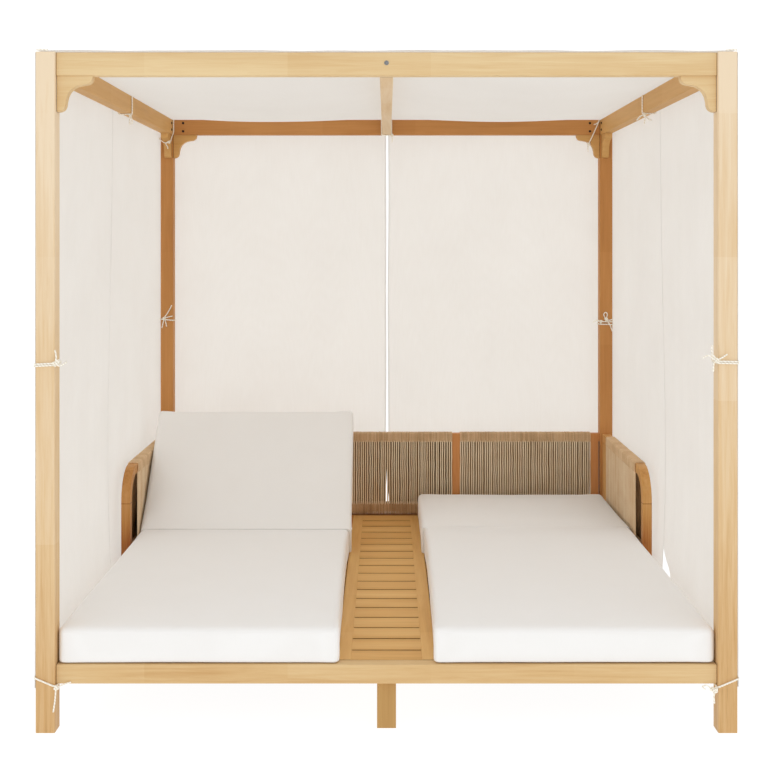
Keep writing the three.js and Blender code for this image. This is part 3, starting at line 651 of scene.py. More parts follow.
def rope_tree():
    """A net wound round two rails: close turns on each rail, and open strands in front and behind"""
    tree, given = new_tree("rope_net", Float=(
        "Length", "Rail", "Lower Centre", "Upper Centre", "Slack", "Rope Radius", "Wrap Pitch", "Strand Pitch",
        "Inner Pitch", "Sleeve Tone", "Strand Tone", "Inner Tone", "Wander", "Parting", "Parting Place", "Turn",
    ), Vector=["Place"], Int=["Seed"], Material=["Rope"])
    maths = maths_in(tree)

    def vector(x=0.0, y=0.0, z=0.0):
        return made(tree, "ShaderNodeCombineXYZ", {"X": x, "Y": y, "Z": z})

    def clamped(value):
        return made(tree, "ShaderNodeClamp", {0: value})

    lower, upper = given["Lower Centre"], given["Upper Centre"]
    diameter = maths("MULTIPLY", given["Rope Radius"], 2.0)
    wrapped = maths("ADD", given["Rail"], diameter)
    ring = made(tree, "GeometryNodeCurvePrimitiveCircle", {"Resolution": 6, "Radius": given["Rope Radius"]})

    def turn_round(slack):
        """A turn of rope round a rail, which hangs below it by the slack"""
        section = made(tree, "GeometryNodeCurvePrimitiveQuadrilateral", {
            "Width": wrapped, "Height": maths("ADD", wrapped, slack)})
        rounded = made(tree, "GeometryNodeFilletCurve", {"Curve": section, "Count": 3, "Radius": 0.006}, mode="POLY")
        stood = made(tree, "GeometryNodeTransform", {
            "Geometry": rounded, "Rotation": (math.pi / 2, 0, math.pi / 2),
            "Translation": vector(z=maths("MULTIPLY", slack, -0.5))})
        return made(tree, "GeometryNodeCurveToMesh", {"Curve": stood, "Profile Curve": ring})

    def row(pitch, z):
        """Points along the rail at a height, evenly apart by about the pitch"""
        start = maths("MULTIPLY_ADD", given["Length"], -0.5, given["Rope Radius"])
        span = maths("SUBTRACT", given["Length"], diameter)
        steps = maths("ROUND", maths("DIVIDE", span, pitch))
        return made(tree, "GeometryNodeMeshLine", {
            "Count": maths("ADD", steps, 1.0), "Start Location": vector(start, 0.0, z),
            "Offset": vector(maths("DIVIDE", span, steps))})

    def strewn(points, piece, jitter, seed, tone, range_of_tone):
        """A piece at each point, a little off its place and with a tone of its own"""
        seed = maths("ADD", given["Seed"], seed)
        shift = made(tree, "FunctionNodeRandomValue", {
            0: [-c for c in jitter], 1: jitter, "Seed": seed}, data_type="FLOAT_VECTOR")
        moved = made(tree, "GeometryNodeSetPosition", {"Geometry": points, "Offset": shift})
        placed = made(tree, "GeometryNodeInstanceOnPoints", {"Points": moved, "Instance": piece})
        own_tone = put(tree, "FunctionNodeRandomValue", {
            2: tone, 3: maths("ADD", tone, range_of_tone), "Seed": seed}, data_type="FLOAT").outputs[1]
        return stored(placed, "tone", own_tone)

    def stored(instances, name, value):
        return made(tree, "GeometryNodeStoreNamedAttribute", {
            "Geometry": instances, "Name": name, "Value": value}, data_type="FLOAT", domain="INSTANCE")

    def parted(strands):
        """Pushes the far strands apart at their feet, where light shows between the curtains"""
        x, _, z = put(tree, "ShaderNodeSeparateXYZ", {"Vector": made(tree, "GeometryNodeInputPosition")}).outputs
        solid = made(tree, "GeometryNodeRealizeInstances", {"Geometry": stored(strands, "place", x)})
        own = made(tree, "GeometryNodeInputNamedAttribute", {"Name": "place"}, data_type="FLOAT")
        off = maths("SUBTRACT", own, given["Parting Place"])
        near = maths("EXPONENT", maths("MULTIPLY", maths("ABSOLUTE", off), -28.0))
        down = clamped(maths("DIVIDE", maths("SUBTRACT", upper, z), maths("SUBTRACT", upper, lower)))
        amount = maths("MULTIPLY", maths("POWER", down, 2.8), given["Parting"])
        push = maths("MULTIPLY", maths("MULTIPLY", near, maths("SIGN", off)), amount)
        return made(tree, "GeometryNodeSetPosition", {"Geometry": solid, "Offset": vector(push)})

    parts = []
    # The lower sleeve's turns are stored darker than the upper ones: painted shade
    for seed, (level, slack, darker) in enumerate(((lower, given["Slack"], 0.16), (upper, 0.0, 0.0))):
        tone = maths("SUBTRACT", given["Sleeve Tone"], darker)
        turns = row(given["Wrap Pitch"], level)
        parts.append(strewn(turns, turn_round(slack), [0.0003, 0.0002, 0.0004], seed, tone, 0.18))

    # The strands start under the sleeves, between the rail and its turns
    depth = maths("MULTIPLY_ADD", wrapped, 0.5, -0.0014)
    tuck = maths("MULTIPLY_ADD", wrapped, 0.5, -0.0065)
    for seed, side, layer, jitter in ((2, -1.0, "Strand", 0.0011), (3, 1.0, "Inner", 0.0001)):
        y = maths("MULTIPLY", depth, side)
        line = made(tree, "GeometryNodeCurvePrimitiveLine", {
            "Start": vector(0.0, y, maths("ADD", lower, tuck)), "End": vector(0.0, y, maths("SUBTRACT", upper, tuck))})
        fine = made(tree, "GeometryNodeResampleCurve", {"Curve": line, "Count": 12})
        strand = made(tree, "GeometryNodeCurveToMesh", {"Curve": fine, "Profile Curve": ring, "Fill Caps": True})
        points = row(given[f"{layer} Pitch"], 0.0)
        strung = strewn(points, strand, [jitter, 0.0002, 0.0], seed, given[f"{layer} Tone"], 0.22)
        parts.append(parted(strung) if side > 0 else strung)

    # Between the rails, all wander sideways a little
    solid = made(tree, "GeometryNodeRealizeInstances", {"Geometry": joined(tree, parts)})
    place = made(tree, "GeometryNodeInputPosition")
    waves = put(tree, "ShaderNodeTexNoise", {"Vector": place, "Scale": 17.0, "Detail": 1.0}).outputs["Color"]
    wave = made(tree, "ShaderNodeSeparateXYZ", {"Vector": waves})
    height = put(tree, "ShaderNodeSeparateXYZ", {"Vector": place}).outputs[Z]
    half = maths("MULTIPLY", wrapped, 0.5)
    above = maths("SUBTRACT", height, maths("ADD", lower, half))
    below = maths("SUBTRACT", maths("SUBTRACT", upper, half), height)
    share = clamped(maths("MULTIPLY", maths("MULTIPLY", above, below), 70.0))
    drift = maths("MULTIPLY", maths("SUBTRACT", wave, 0.5), maths("MULTIPLY", share, given["Wander"]))
    wandering = made(tree, "GeometryNodeSetPosition", {"Geometry": solid, "Offset": vector(drift)})
    smooth = made(tree, "GeometryNodeSetShadeSmooth", {"Geometry": wandering})
    turned = made(tree, "GeometryNodeTransform", {
        "Geometry": smooth, "Rotation": vector(z=given["Turn"]), "Translation": given["Place"]})
    end_tree(tree, turned, given["Rope"])
    return tree


class WindRopes(bpy.types.Operator):
    """Winds the rope nets of the back panel and the arms"""

    bl_idname = "daybed.wind_ropes"
    bl_label = "Wind ropes"

    def execute(self, context):
        s = context.scene.daybed_rope
        tree = rope_tree()
        panel_low, panel_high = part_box("back_panel_frame")
        rail = panel_high.y - panel_low.y
        shared = {
            "Rail": rail, "Lower Centre": panel_low.z + rail / 2, "Upper Centre": panel_high.z - rail / 2,
            "Rope Radius": s.diameter / 2, "Wrap Pitch": s.wrap_pitch, "Strand Pitch": s.strand_pitch,
            "Inner Pitch": s.inner_pitch, "Slack": 0.0095, "Wander": 0.006, "Parting Place": 0.001,
            "Rope": braided_rope("braided_olefin_rope"),
        }
        nets = [f"back_rope_{bay}" for bay in ("left", "middle", "right")]
        nets += [f"{side}_arm_rope" for side, _ in SIDES]
        for seed, node in enumerate(nets):
            low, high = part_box(node)
            middle = (low + high) / 2
            is_arm = node.endswith("arm_rope")
            run = Y if is_arm else X
            piece = grown(node.replace("rope", "rope_net"), tree, shared | {
                "Length": high[run] - low[run],
                # The tones paint light and shade: near strands light, far strands dark, less so in the right bay, and
                # the sleeves between
                "Sleeve Tone": 0.6 if is_arm else 0.56,
                "Strand Tone": 0.72 if is_arm else 0.95,
                "Inner Tone": 0.25 if node == "back_rope_right" else 0.08,
                "Parting": 0.013 if node == "back_rope_middle" else 0.0,
                "Turn": math.copysign(math.pi / 2, -middle.x) if is_arm else 0.0,
                "Place": (middle.x, middle.y, 0.0),
                "Seed": 10 * seed,
            })
            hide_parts(node)
            keep_on_frame(piece)
        return {"FINISHED"}


# Mattresses

def woven_cover(name):
    """Polyester canvas, plain woven: off-white and matt; the threads are drawn about three times life size"""
    s = bpy.context.scene.daybed_pads
    material, tree, place = new_material(name)
    waves = thread_waves(tree, place, s.thread, 0.6, "XY")
    slub = stretched_noise(tree, place, (900, 60, 60), 2.0, 0.6)
    cloud = stretched_noise(tree, place, 7, 3.0)
    mix = sum_of(tree, [*((wave, 0.22) for wave in waves), (slub, 0.3), (cloud, 0.35)])
    surface(tree, {
        "Base Color": ramp(tree, mix, [(0.15, (*s.shade, 1.0)), (0.75, (*s.colour, 1.0))]),
        "Roughness": 0.92,
        "Sheen Weight": 1.0,
        "Sheen Roughness": 0.5,
        "Specular IOR Level": 0.3,
        "Normal": bump(tree, sum_of(tree, [*((wave, 0.5) for wave in waves), (slub, 0.4)]), 0.0004, 0.35),
    })
    return material


def stations(low, high, low_radius, high_radius, step):
    """Places along a side, closer together where its edges are rounded"""
    bends = [math.sin(math.radians(a)) for a in (0, 18, 36, 54, 72, 90)]
    flat = max(2, round((high - high_radius - low - low_radius) / step))
    start = [low + low_radius * (1 - b) for b in reversed(bends)]
    end = [high - high_radius * (1 - b) for b in bends]
    middle = np.linspace(low + low_radius, high - high_radius, flat + 1)[1:-1]
    return np.array([*start, *middle, *end])


def pad_mesh(name, spans, radii, step):
    """A closed box with rounded edges on spans of (low, high) across, along and up"""
    lists = [stations(*span, *radius, step) for span, radius in zip(spans, radii)]
    counts = [len(values) for values in lists]
    index, points, faces = {}, [], []

    def corner(key):
        if key in index:
            return index[key]
        core, reach, size = [], [], []
        for axis, station in enumerate(key):
            value = lists[axis][station]
            (low, high), (low_r, high_r) = spans[axis], radii[axis]
            inner = min(max(value, low + low_r), high - high_r)
            size.append(low_r if value < inner else high_r)
            core.append(inner)
            reach.append((value - inner) / size[-1])
        length = math.sqrt(sum(r * r for r in reach)) or 1.0
        pull = max(abs(r) for r in reach) / length
        index[key] = len(points)
        points.append([c + r * q * pull for c, r, q in zip(core, reach, size)])
        return index[key]

    for axis in range(3):
        u, v = (axis + 1) % 3, (axis + 2) % 3
        for end in (0, counts[axis] - 1):
            for i in range(counts[u] - 1):
                for j in range(counts[v] - 1):
                    keys = []
                    for a, b in ((i, j), (i + 1, j), (i + 1, j + 1), (i, j + 1)):
                        key = [0, 0, 0]
                        key[axis], key[u], key[v] = end, a, b
                        keys.append(corner(tuple(key)))
                    faces.append(keys if end else keys[::-1])
    return new_mesh(name, points, faces=faces)


def coordinates(mesh):
    flat = np.empty(len(mesh.vertices) * 3)
    mesh.vertices.foreach_get("co", flat)
    return flat.reshape(-1, 3)


def set_coordinates(mesh, points):
    mesh.vertices.foreach_set("co", np.asarray(points, float).ravel())
    mesh.update()


CLOTH_SETTINGS = {
    "use_pressure": True, "uniform_pressure_force": 4.0, "quality": 5, "tension_stiffness": 12,
    "compression_stiffness": 12, "shear_stiffness": 6, "bending_stiffness": 1.5,
}
FILL_FRAMES = 20


def filled(piece, limit):
    """The points of a cover after air pressure swells it, none moved further than the limit"""
    start = coordinates(piece.data)
    scene = bpy.context.scene
    cloth = piece.modifiers.new("fill", "CLOTH")
    for name, value in CLOTH_SETTINGS.items():
        setattr(cloth.settings, name, value)
    cloth.settings.effector_weights.gravity = 0.0
    cloth.collision_settings.use_collision = False
    cloth.point_cache.frame_start = 1
    cloth.point_cache.frame_end = FILL_FRAMES
    for step in range(1, FILL_FRAMES + 1):
        scene.frame_set(step)
    graph = bpy.context.evaluated_depsgraph_get()
    swollen = coordinates(piece.evaluated_get(graph).to_mesh())
    piece.modifiers.remove(cloth)
    scene.frame_set(1)
    move = swollen - start
    size = np.linalg.norm(move, axis=1, keepdims=True)
    return start + move * (limit * np.tanh(size / limit) / np.maximum(size, 1e-9))


def rippled(points, seed, amount):
    """Slight hollows and rises of a filled cover"""
    out = points.copy()
    for i, p in enumerate(points):
        at = Vector((p[0] * 4.2, p[1] * 4.2, p[2] * 9.0)) + Vector((seed, 0, 0))
        out[i] += np.array(noise.noise_vector(at)) * amount
    return out


def eased_share(value):
    """A number or an array, kept between zero and one, with a soft start and end"""
    share = np.clip(value, 0, 1)
    return share * share * (3 - 2 * share)


# Both mattresses' places from the hinge axis, and the gaps that they leave
SEAT_REAR = -0.0155
BACK_FRONT, BACK_REAR = -0.0145, 0.634
SEAT_INNER, SEAT_OUTER = 0.1365, INNER - 0.0025
CREASE_RADIUS = 0.0015
TOP_GAP = 0.004
FULLNESS = 0.007


class StuffMattresses(bpy.types.Operator):
    """Makes the seat and back mattresses; each back is bent at its crease to its frame's tilt and turned with it"""

    bl_idname = "daybed.stuff_mattresses"
    bl_label = "Stuff mattresses"

    def execute(self, context):
        s = context.scene.daybed_pads
        cover = woven_cover("woven_polyester_cover")
        noise.seed_set(4)
        for number, (side, sign) in enumerate(SIDES):
            joint = HINGES[f"{side}_back_tilt"]
            hinge = Vector(joint["pos_m"])
            tilt = -math.radians(joint["range_deg"][0])
            self.seat(side, sign, hinge, tilt, cover, s, number)
            self.back(side, hinge, tilt, cover, s, number)
        return {"FINISHED"}

    def make(self, name, spans, radii, limits, crease, s, seed):
        """A filled pad: let out to its cut size, pressed at its crease, within its limits; with its points"""
        mesh = pad_mesh(name, spans, radii, 0.02)
        piece = new_object(name, mesh)
        cut = coordinates(mesh)
        points = filled(piece, s.swell_limit)
        for axis in (X, Y):
            small, large = points[:, axis].min(), points[:, axis].max()
            low, high = spans[axis]
            points[:, axis] = low + (points[:, axis] - small) * (high - low) / (large - small)
        pressed = eased_share(1 - np.abs(cut[:, Y] - crease) / 0.24)[:, None]
        points = rippled(points * (1 - pressed) + cut * pressed, 7.3 * seed, 0.0016)
        for axis, (low, high) in enumerate(limits):
            points[:, axis] = soft_clamp(points[:, axis], low, high, 0.006)
        return piece, points

    def finish(self, piece, points, cover):
        set_coordinates(piece.data, points)
        piece.data.materials.append(cover)
        piece.data.shade_smooth()
        subdivide = piece.modifiers.new("smooth", "SUBSURF")
        subdivide.levels = subdivide.render_levels = 1
        applied(piece)

    def seat(self, side, sign, hinge, tilt, cover, s, number):
        low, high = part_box(f"{side}_seat_pad")
        base, top = low.z - hinge.z, high.z - TOP_GAP - hinge.z
        front, rear, r = low.y - hinge.y, SEAT_REAR, s.edge_radius
        across = (SEAT_INNER, SEAT_OUTER) if sign > 0 else (-SEAT_OUTER, -SEAT_INNER)
        radii = ((r, r), (r, CREASE_RADIUS), (s.foot_radius, r))
        limits = ((across[0] - 0.001, across[1] + 0.001), (front - 0.002, rear), (base, top + FULLNESS))
        piece, points = self.make(
            f"{side}_seat_mattress", (across, (front, rear), (base, top)), radii, limits, rear, s, number)

        # The outer side swells; the inner side draws in towards the crease
        rearward = (points[:, Y] - front) / (rear - front)
        along = np.clip(2 * rearward - 1, -1, 1)
        outside = np.clip((np.abs(points[:, X]) - 0.8) / (SEAT_OUTER - 0.8), 0, 1)
        points[:, X] += sign * s.side_swell * (1 - along**6) * outside**2
        beside_aisle = np.clip(1 - (np.abs(points[:, X]) - SEAT_INNER) / 0.2, 0, 1)
        points[:, X] += sign * 0.012 * np.clip(rearward, 0, 1) * beside_aisle

        over = np.maximum(0, points[:, Z] * math.tan(tilt / 2) + rear)
        points[:, Y] -= over * eased_share(1 - (rear - points[:, Y]) / 0.2)
        self.finish(piece, points + np.array((0, hinge.y, hinge.z)), cover)
        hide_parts(f"{side}_seat_pad")
        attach(piece, FRAME_BODY)

    def back(self, side, hinge, tilt, cover, s, number):
        low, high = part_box(f"{side}_back_pad")
        base = DECK_TOP + 0.0005 - hinge.z
        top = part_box("right_back_pad")[1].z - TOP_GAP - hinge.z
        front, rear, r = BACK_FRONT, BACK_REAR, s.edge_radius
        radii = ((r, r), (CREASE_RADIUS, r), (s.foot_radius, r))
        limits = ((low.x - 0.001, high.x + 0.001), (front, rear + 0.004), (base, top + FULLNESS))
        piece, points = self.make(
            f"{side}_back_mattress", ((low.x, high.x), (front, rear), (base, top)), radii, limits, front, s, number + 2)
        if tilt:
            reach = np.maximum(0, points[:, Z] * math.tan(tilt / 2) - front)
            points[:, Y] += reach * eased_share(1 - (points[:, Y] - front) / 0.22)
        turn = np.array(Matrix.Rotation(tilt, 3, "X"))
        self.finish(piece, points @ turn.T + np.array((0, hinge.y, hinge.z)), cover)
        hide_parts(f"{side}_back_pad", f"{side}_pad_fold")
        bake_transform(piece)


def soft_clamp(values, low, high, soft):
    """Values eased to their limits over a soft stretch, so that no hard flat shows"""
    over = np.maximum(0, values - (high - soft))
    values = np.where(over > 0, high - soft + soft * np.tanh(over / soft), values)
    under = np.maximum(0, (low + soft) - values)
    return np.where(under > 0, low + soft - soft * np.tanh(under / soft), values)


def applied(piece):
    """Replaces a piece's mesh by the one its modifiers make"""
    graph = bpy.context.evaluated_depsgraph_get()
    mesh = bpy.data.meshes.new_from_object(piece.evaluated_get(graph), depsgraph=graph)
    old = piece.data
    piece.modifiers.clear()
    piece.data = mesh
    mesh.name = piece.name
    bpy.data.meshes.remove(old)


# Canvas

CLOTH_THICK = 0.0012
CLOTH_LIFT = 0.0006
HEM = 0.03
# Columns and rows of each cloth's faces
CURTAIN_GRID = (84, 110)
HEM_GRID = (84, 4)
ROOF_GRID = (150, 150)


def woven_canvas(name):
    """Polyester canvas, plain woven and bleached: matt, some light passes through; threads drawn larger than life"""
    s = bpy.context.scene.daybed_canvas
    material, tree, place = new_material(name)
    waves = thread_waves(tree, place, s.thread, 0.4, "XYZ")
    slub = stretched_noise(tree, place, (260, 260, 14), 3.0, 0.6)
    cloud = stretched_noise(tree, place, 4, 3.0)
    mix = sum_of(tree, [*((wave, 0.05) for wave in waves), (slub, 0.5), (cloud, 0.35)])
    surface(tree, {
        "Base Color": ramp(tree, mix, [(0.2, (*s.shade, 1.0)), (0.75, (*s.colour, 1.0))]),
        "Roughness": 0.9,
        "Specular IOR Level": 0.3,
        "Sheen Weight": 0.15,
        "Normal": bump(tree, sum_of(tree, [*((wave, 0.2) for wave in waves), (slub, 0.5)]), 0.0002, 0.2),
    }, s.light_through)
    return material


def cloth_shell(name, place, grid, thick, canvas):
    """A closed thin sheet: place(u, v) gives a point of its face and the way its other face lies"""
    columns, rows = grid
    points, faces = [], []
    for face in (0, 1):
        for j in range(rows + 1):
            for i in range(columns + 1):
                point, away = place(i / columns, j / rows)
                points.append(point + away * (thick * face))
    wide = columns + 1
    back = wide * (rows + 1)
    for j in range(rows):
        for i in range(columns):
            a = j * wide + i
            faces.append((a, a + 1, a + 1 + wide, a + wide))
            faces.append((back + a + wide, back + a + 1 + wide, back + a + 1, back + a))
        left, right = j * wide, j * wide + columns
        faces.append((left + wide, back + left + wide, back + left, left))
        faces.append((right, back + right, back + right + wide, right + wide))
    for i in range(columns):
        top = rows * wide + i
        faces.append((i, back + i, back + i + 1, i + 1))
        faces.append((top + 1, back + top + 1, back + top, top))
    mesh = new_mesh(name, points, faces=faces)
    mesh.shade_smooth()
    mesh.materials.append(canvas)
    shell = bmesh.new()
    shell.from_mesh(mesh)
    bmesh.ops.recalc_face_normals(shell, faces=shell.faces)
    shell.to_mesh(mesh)
    shell.free()
    return new_object(name, mesh)


def fold_depth(along, down, seed, s):
    """How far a curtain stands off its plane: soft upright folds, deeper lower down, and a swell below the middle"""
    drift = 0.5 * noise.noise(Vector((along * 1.4, down * 0.5, seed)))
    first = math.sin(2 * math.pi * (along / 0.34 + drift) + seed)
    second = math.sin(2 * math.pi * (along / 0.13 + 1.6 * drift) + 2.1 * seed)
    fine = noise.noise(Vector((along * 9, down * 1.3, seed + 9)))
    return s.fold_depth * (0.35 + 0.65 * down) * (0.5 + 0.32 * first + 0.12 * second + 0.2 * fine)


def meeting_edges(node, low, high, height):
    """Where a curtain's two upright edges are at a height; the ones that meet another part towards the floor"""
    if node == "rear_left_curtain":
        return low.x, -0.001 - 0.009 * eased_share((0.42 - height) / 0.17)
    if node == "rear_right_curtain":
        return 0.007 + 0.003 * eased_share((0.42 - height) / 0.17), high.x
    if node == "right_front_curtain":
        return low.y, -0.0001 - 0.15 * eased_share((0.295 - height) / 0.11)
    if node.endswith("front_curtain"):
        return low.y, -0.0001
    return 0.0001, high.y


class HangCurtains(bpy.types.Operator):
    """Hangs six curtains from the beams, with hems and soft folds"""

    bl_idname = "daybed.hang_curtains"
    bl_label = "Hang curtains"

    def execute(self, context):
        s = context.scene.daybed_canvas
        canvas = woven_canvas("woven_polyester_canvas")
        names = [f"rear_{side}_curtain" for side, _ in SIDES]
        names += [f"{side}_{end}_curtain" for side, _ in SIDES for end, _ in ENDS]
        for number, node in enumerate(names):
            low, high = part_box(node)
            rear = node.startswith("rear")
            seed = number if rear else number // 2 + 7
            run, out = (X, Y) if rear else (Y, X)
            side = 1 if high[out] > 0 else -1
            wide, tall = high[run] - low[run], high.z - low.z

            def place(u, v):
                down = 1 - v
                first, last = meeting_edges(node, low, high, low.z + tall * v)
                along = first + (last - first) * u
                across = u if run == X else (along + OUTER) / (2 * OUTER)
                edge = 1 - (2 * across - 1) ** 8
                belly = math.sin(math.pi * min(max(across, 0.0), 1.0)) ** 0.7
                swell = s.billow * math.sin(math.pi * down**2) * belly
                depth = fold_depth(along, down, 1.7 * seed, s) * (0.35 + 0.65 * edge) + swell
                waver = 0.004 * noise.noise(Vector((down * 3.1, seed, across * 2)))
                point, away = Vector((0, 0, 0)), Vector((0, 0, 0))
                point[run] = along + waver * (0.4 if abs(along) > 0.9 else 1)
                point[out] = side * (OUTER + CLOTH_LIFT + depth)
                point.z = low.z + tall * v + 0.004 * math.sin(9 * along + seed) * down**6
                away[out] = side * (0.12 if u in (0, 1) else 1)
                return point, away

            def turned_up(u, v):
                """The hem, which leaves a groove along its top"""
                point, away = place(u, v * HEM / tall)
                return point - away * CLOTH_THICK / 2, away

            piece = cloth_shell(f"{node}_cloth", place, CURTAIN_GRID, CLOTH_THICK, canvas)
            hem = cloth_shell(f"{node}_hem", turned_up, HEM_GRID, 2 * CLOTH_THICK, canvas)
            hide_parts(node)
            for part in (piece, hem):
                keep_on_frame(part)
        return {"FINISHED"}


class SpreadRoof(bpy.types.Operator):
    """Spreads the roof canvas over the beams and the rafter"""

    bl_idname = "daybed.spread_roof"
    bl_label = "Spread roof"

    def execute(self, context):
        s = context.scene.daybed_canvas
        low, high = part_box("roof_canvas")
        wide, deep = high.x - low.x, high.y - low.y
        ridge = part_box("centre_rafter")[1].x

        def place(u, v):
            x, y = low.x + wide * u, low.y + deep * v
            bay = (abs(x) - ridge) / (INNER - ridge)
            sag = max(0.0, 4 * bay * (1 - bay)) ** 0.9 * max(0.0, 1 - (y / INNER) ** 4)
            rim = max(abs(x), abs(y)) - INNER
            wave = 0.5 + 0.5 * noise.noise(Vector((x * 6, y * 6, 3)))
            lift = CLOTH_LIFT + max(0.0, rim / 0.05) ** 2 * 0.006 * wave
            if sag > 0.2:
                lift += 0.0025 * noise.noise(Vector((x * 3.3, y * 3.3, 0)))
            return Vector((x, y, FRAME_TOP + lift - s.sag * sag)), Vector((0, 0, 1))

        canvas = woven_canvas("woven_polyester_roof_canvas")
        piece = cloth_shell("roof_canvas_cloth", place, ROOF_GRID, CLOTH_THICK, canvas)
        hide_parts("roof_canvas")
        keep_on_frame(piece)
        return {"FINISHED"}


# String ties

def cotton_string(name):
    """Cotton string, twisted: cream and matt, with the twist's slanting shade drawn coarser than life"""
    s = bpy.context.scene.daybed_ties
    material, tree, place = new_material(name)
    settings = {"Vector": place, "Scale": 60.0, "Distortion": 2.0, "Detail": 2.0}
    twist = put(tree, "ShaderNodeTexWave", settings, bands_direction="DIAGONAL").outputs["Fac"]
    fluff = stretched_noise(tree, place, 700, 3.0, 0.7)
    mix = sum_of(tree, [(twist, 0.5), (fluff, 0.5)])
    surface(tree, {
        "Base Color": ramp(tree, mix, [(0.2, linear("#E9DFCB")), (0.6, (*s.colour, 1.0))]),
        "Roughness": 0.95,
        "Normal": bump(tree, sum_of(tree, [(twist, 0.6), (fluff, 0.4)]), 0.0005, 0.6),
    })
    return material


def string_tree():
    """A round string along the edges of a mesh, with its ends closed"""
    tree, given = new_tree("string_on_path", Geometry=["Path"], Float=["Radius"], Material=["String"])
    line = made(tree, "GeometryNodeMeshToCurve", {"Mesh": given["Path"]})
    ring = made(tree, "GeometryNodeCurvePrimitiveCircle", {"Resolution": 8, "Radius": given["Radius"]})
    tube = made(tree, "GeometryNodeCurveToMesh", {"Curve": line, "Profile Curve": ring, "Fill Caps": True})
    end_tree(tree, made(tree, "GeometryNodeSetShadeSmooth", {"Geometry": tube}), given["String"])
    return tree


def smooth_path(points, steps=6, closed=False):
    """A smooth curve in metres through points in millimetres"""
    points = [Vector(p) / 1000 for p in points]
    last = len(points)
    out = []
    for i in range(last if closed else last - 1):
        if closed:
            a, b, c, d = (points[(i + k) % last] for k in (-1, 0, 1, 2))
        else:
            b, c = points[i], points[i + 1]
            a = points[i - 1] if i else b * 2 - c
            d = points[i + 2] if i + 2 < last else c * 2 - b
        for k in range(steps):
            t = k / steps
            bend, twist = 2 * a - 5 * b + 4 * c - d, 3 * b - a - 3 * c + d
            out.append(0.5 * (2 * b + (c - a) * t + bend * t * t + twist * t**3))
    return out if closed else out + [points[-1]]


def round_path(centre, half, flat, lean=0.0, corner=6):
    """A closed path round a timber's section; flat is the axis that the string goes round"""
    a, b = [axis for axis in (X, Y, Z) if axis != flat]
    path = []
    for turn in range(4):
        for angle in (0, 30, 60, 90):
            beta = math.radians(90 * turn + angle)
            sign_a = 1 if turn in (0, 3) else -1
            sign_b = 1 if turn in (0, 1) else -1
            point = Vector(centre)
            point[a] += sign_a * (half[0] - corner) + corner * math.cos(beta)
            point[b] += sign_b * (half[1] - corner) + corner * math.sin(beta)
            point[flat] += lean * (point[a] - centre[a])
            path.append(point)
    return path


def knot_path(centre, size, turn):
    """An overhand knot drawn tight, in metres round a point in millimetres"""
    path = []
    for i in range(40):
        t = 2 * math.pi * i / 40
        flat = Vector((math.sin(t) + 2 * math.sin(2 * t), math.cos(t) - 2 * math.cos(2 * t), -1.4 * math.sin(3 * t)))
        path.append(Vector(centre) / 1000 + Matrix.Rotation(turn, 3, "Y") @ flat.xzy * size)
    return path


def post_run(side, end, z, lean, strings=1, apart=12):
    """Turns of string round a corner post"""
    half = (31.2, 31.2)
    return [(round_path((side * 997, end * 997, z + apart * i), half, Z, lean), True) for i in range(strings)]


def beam_run(x, y, half_x):
    """A turn of string round a beam that runs from front to rear"""
    return [(round_path((x, y, 1956.2), (half_x, 36.5), Y, 0.02), True)]


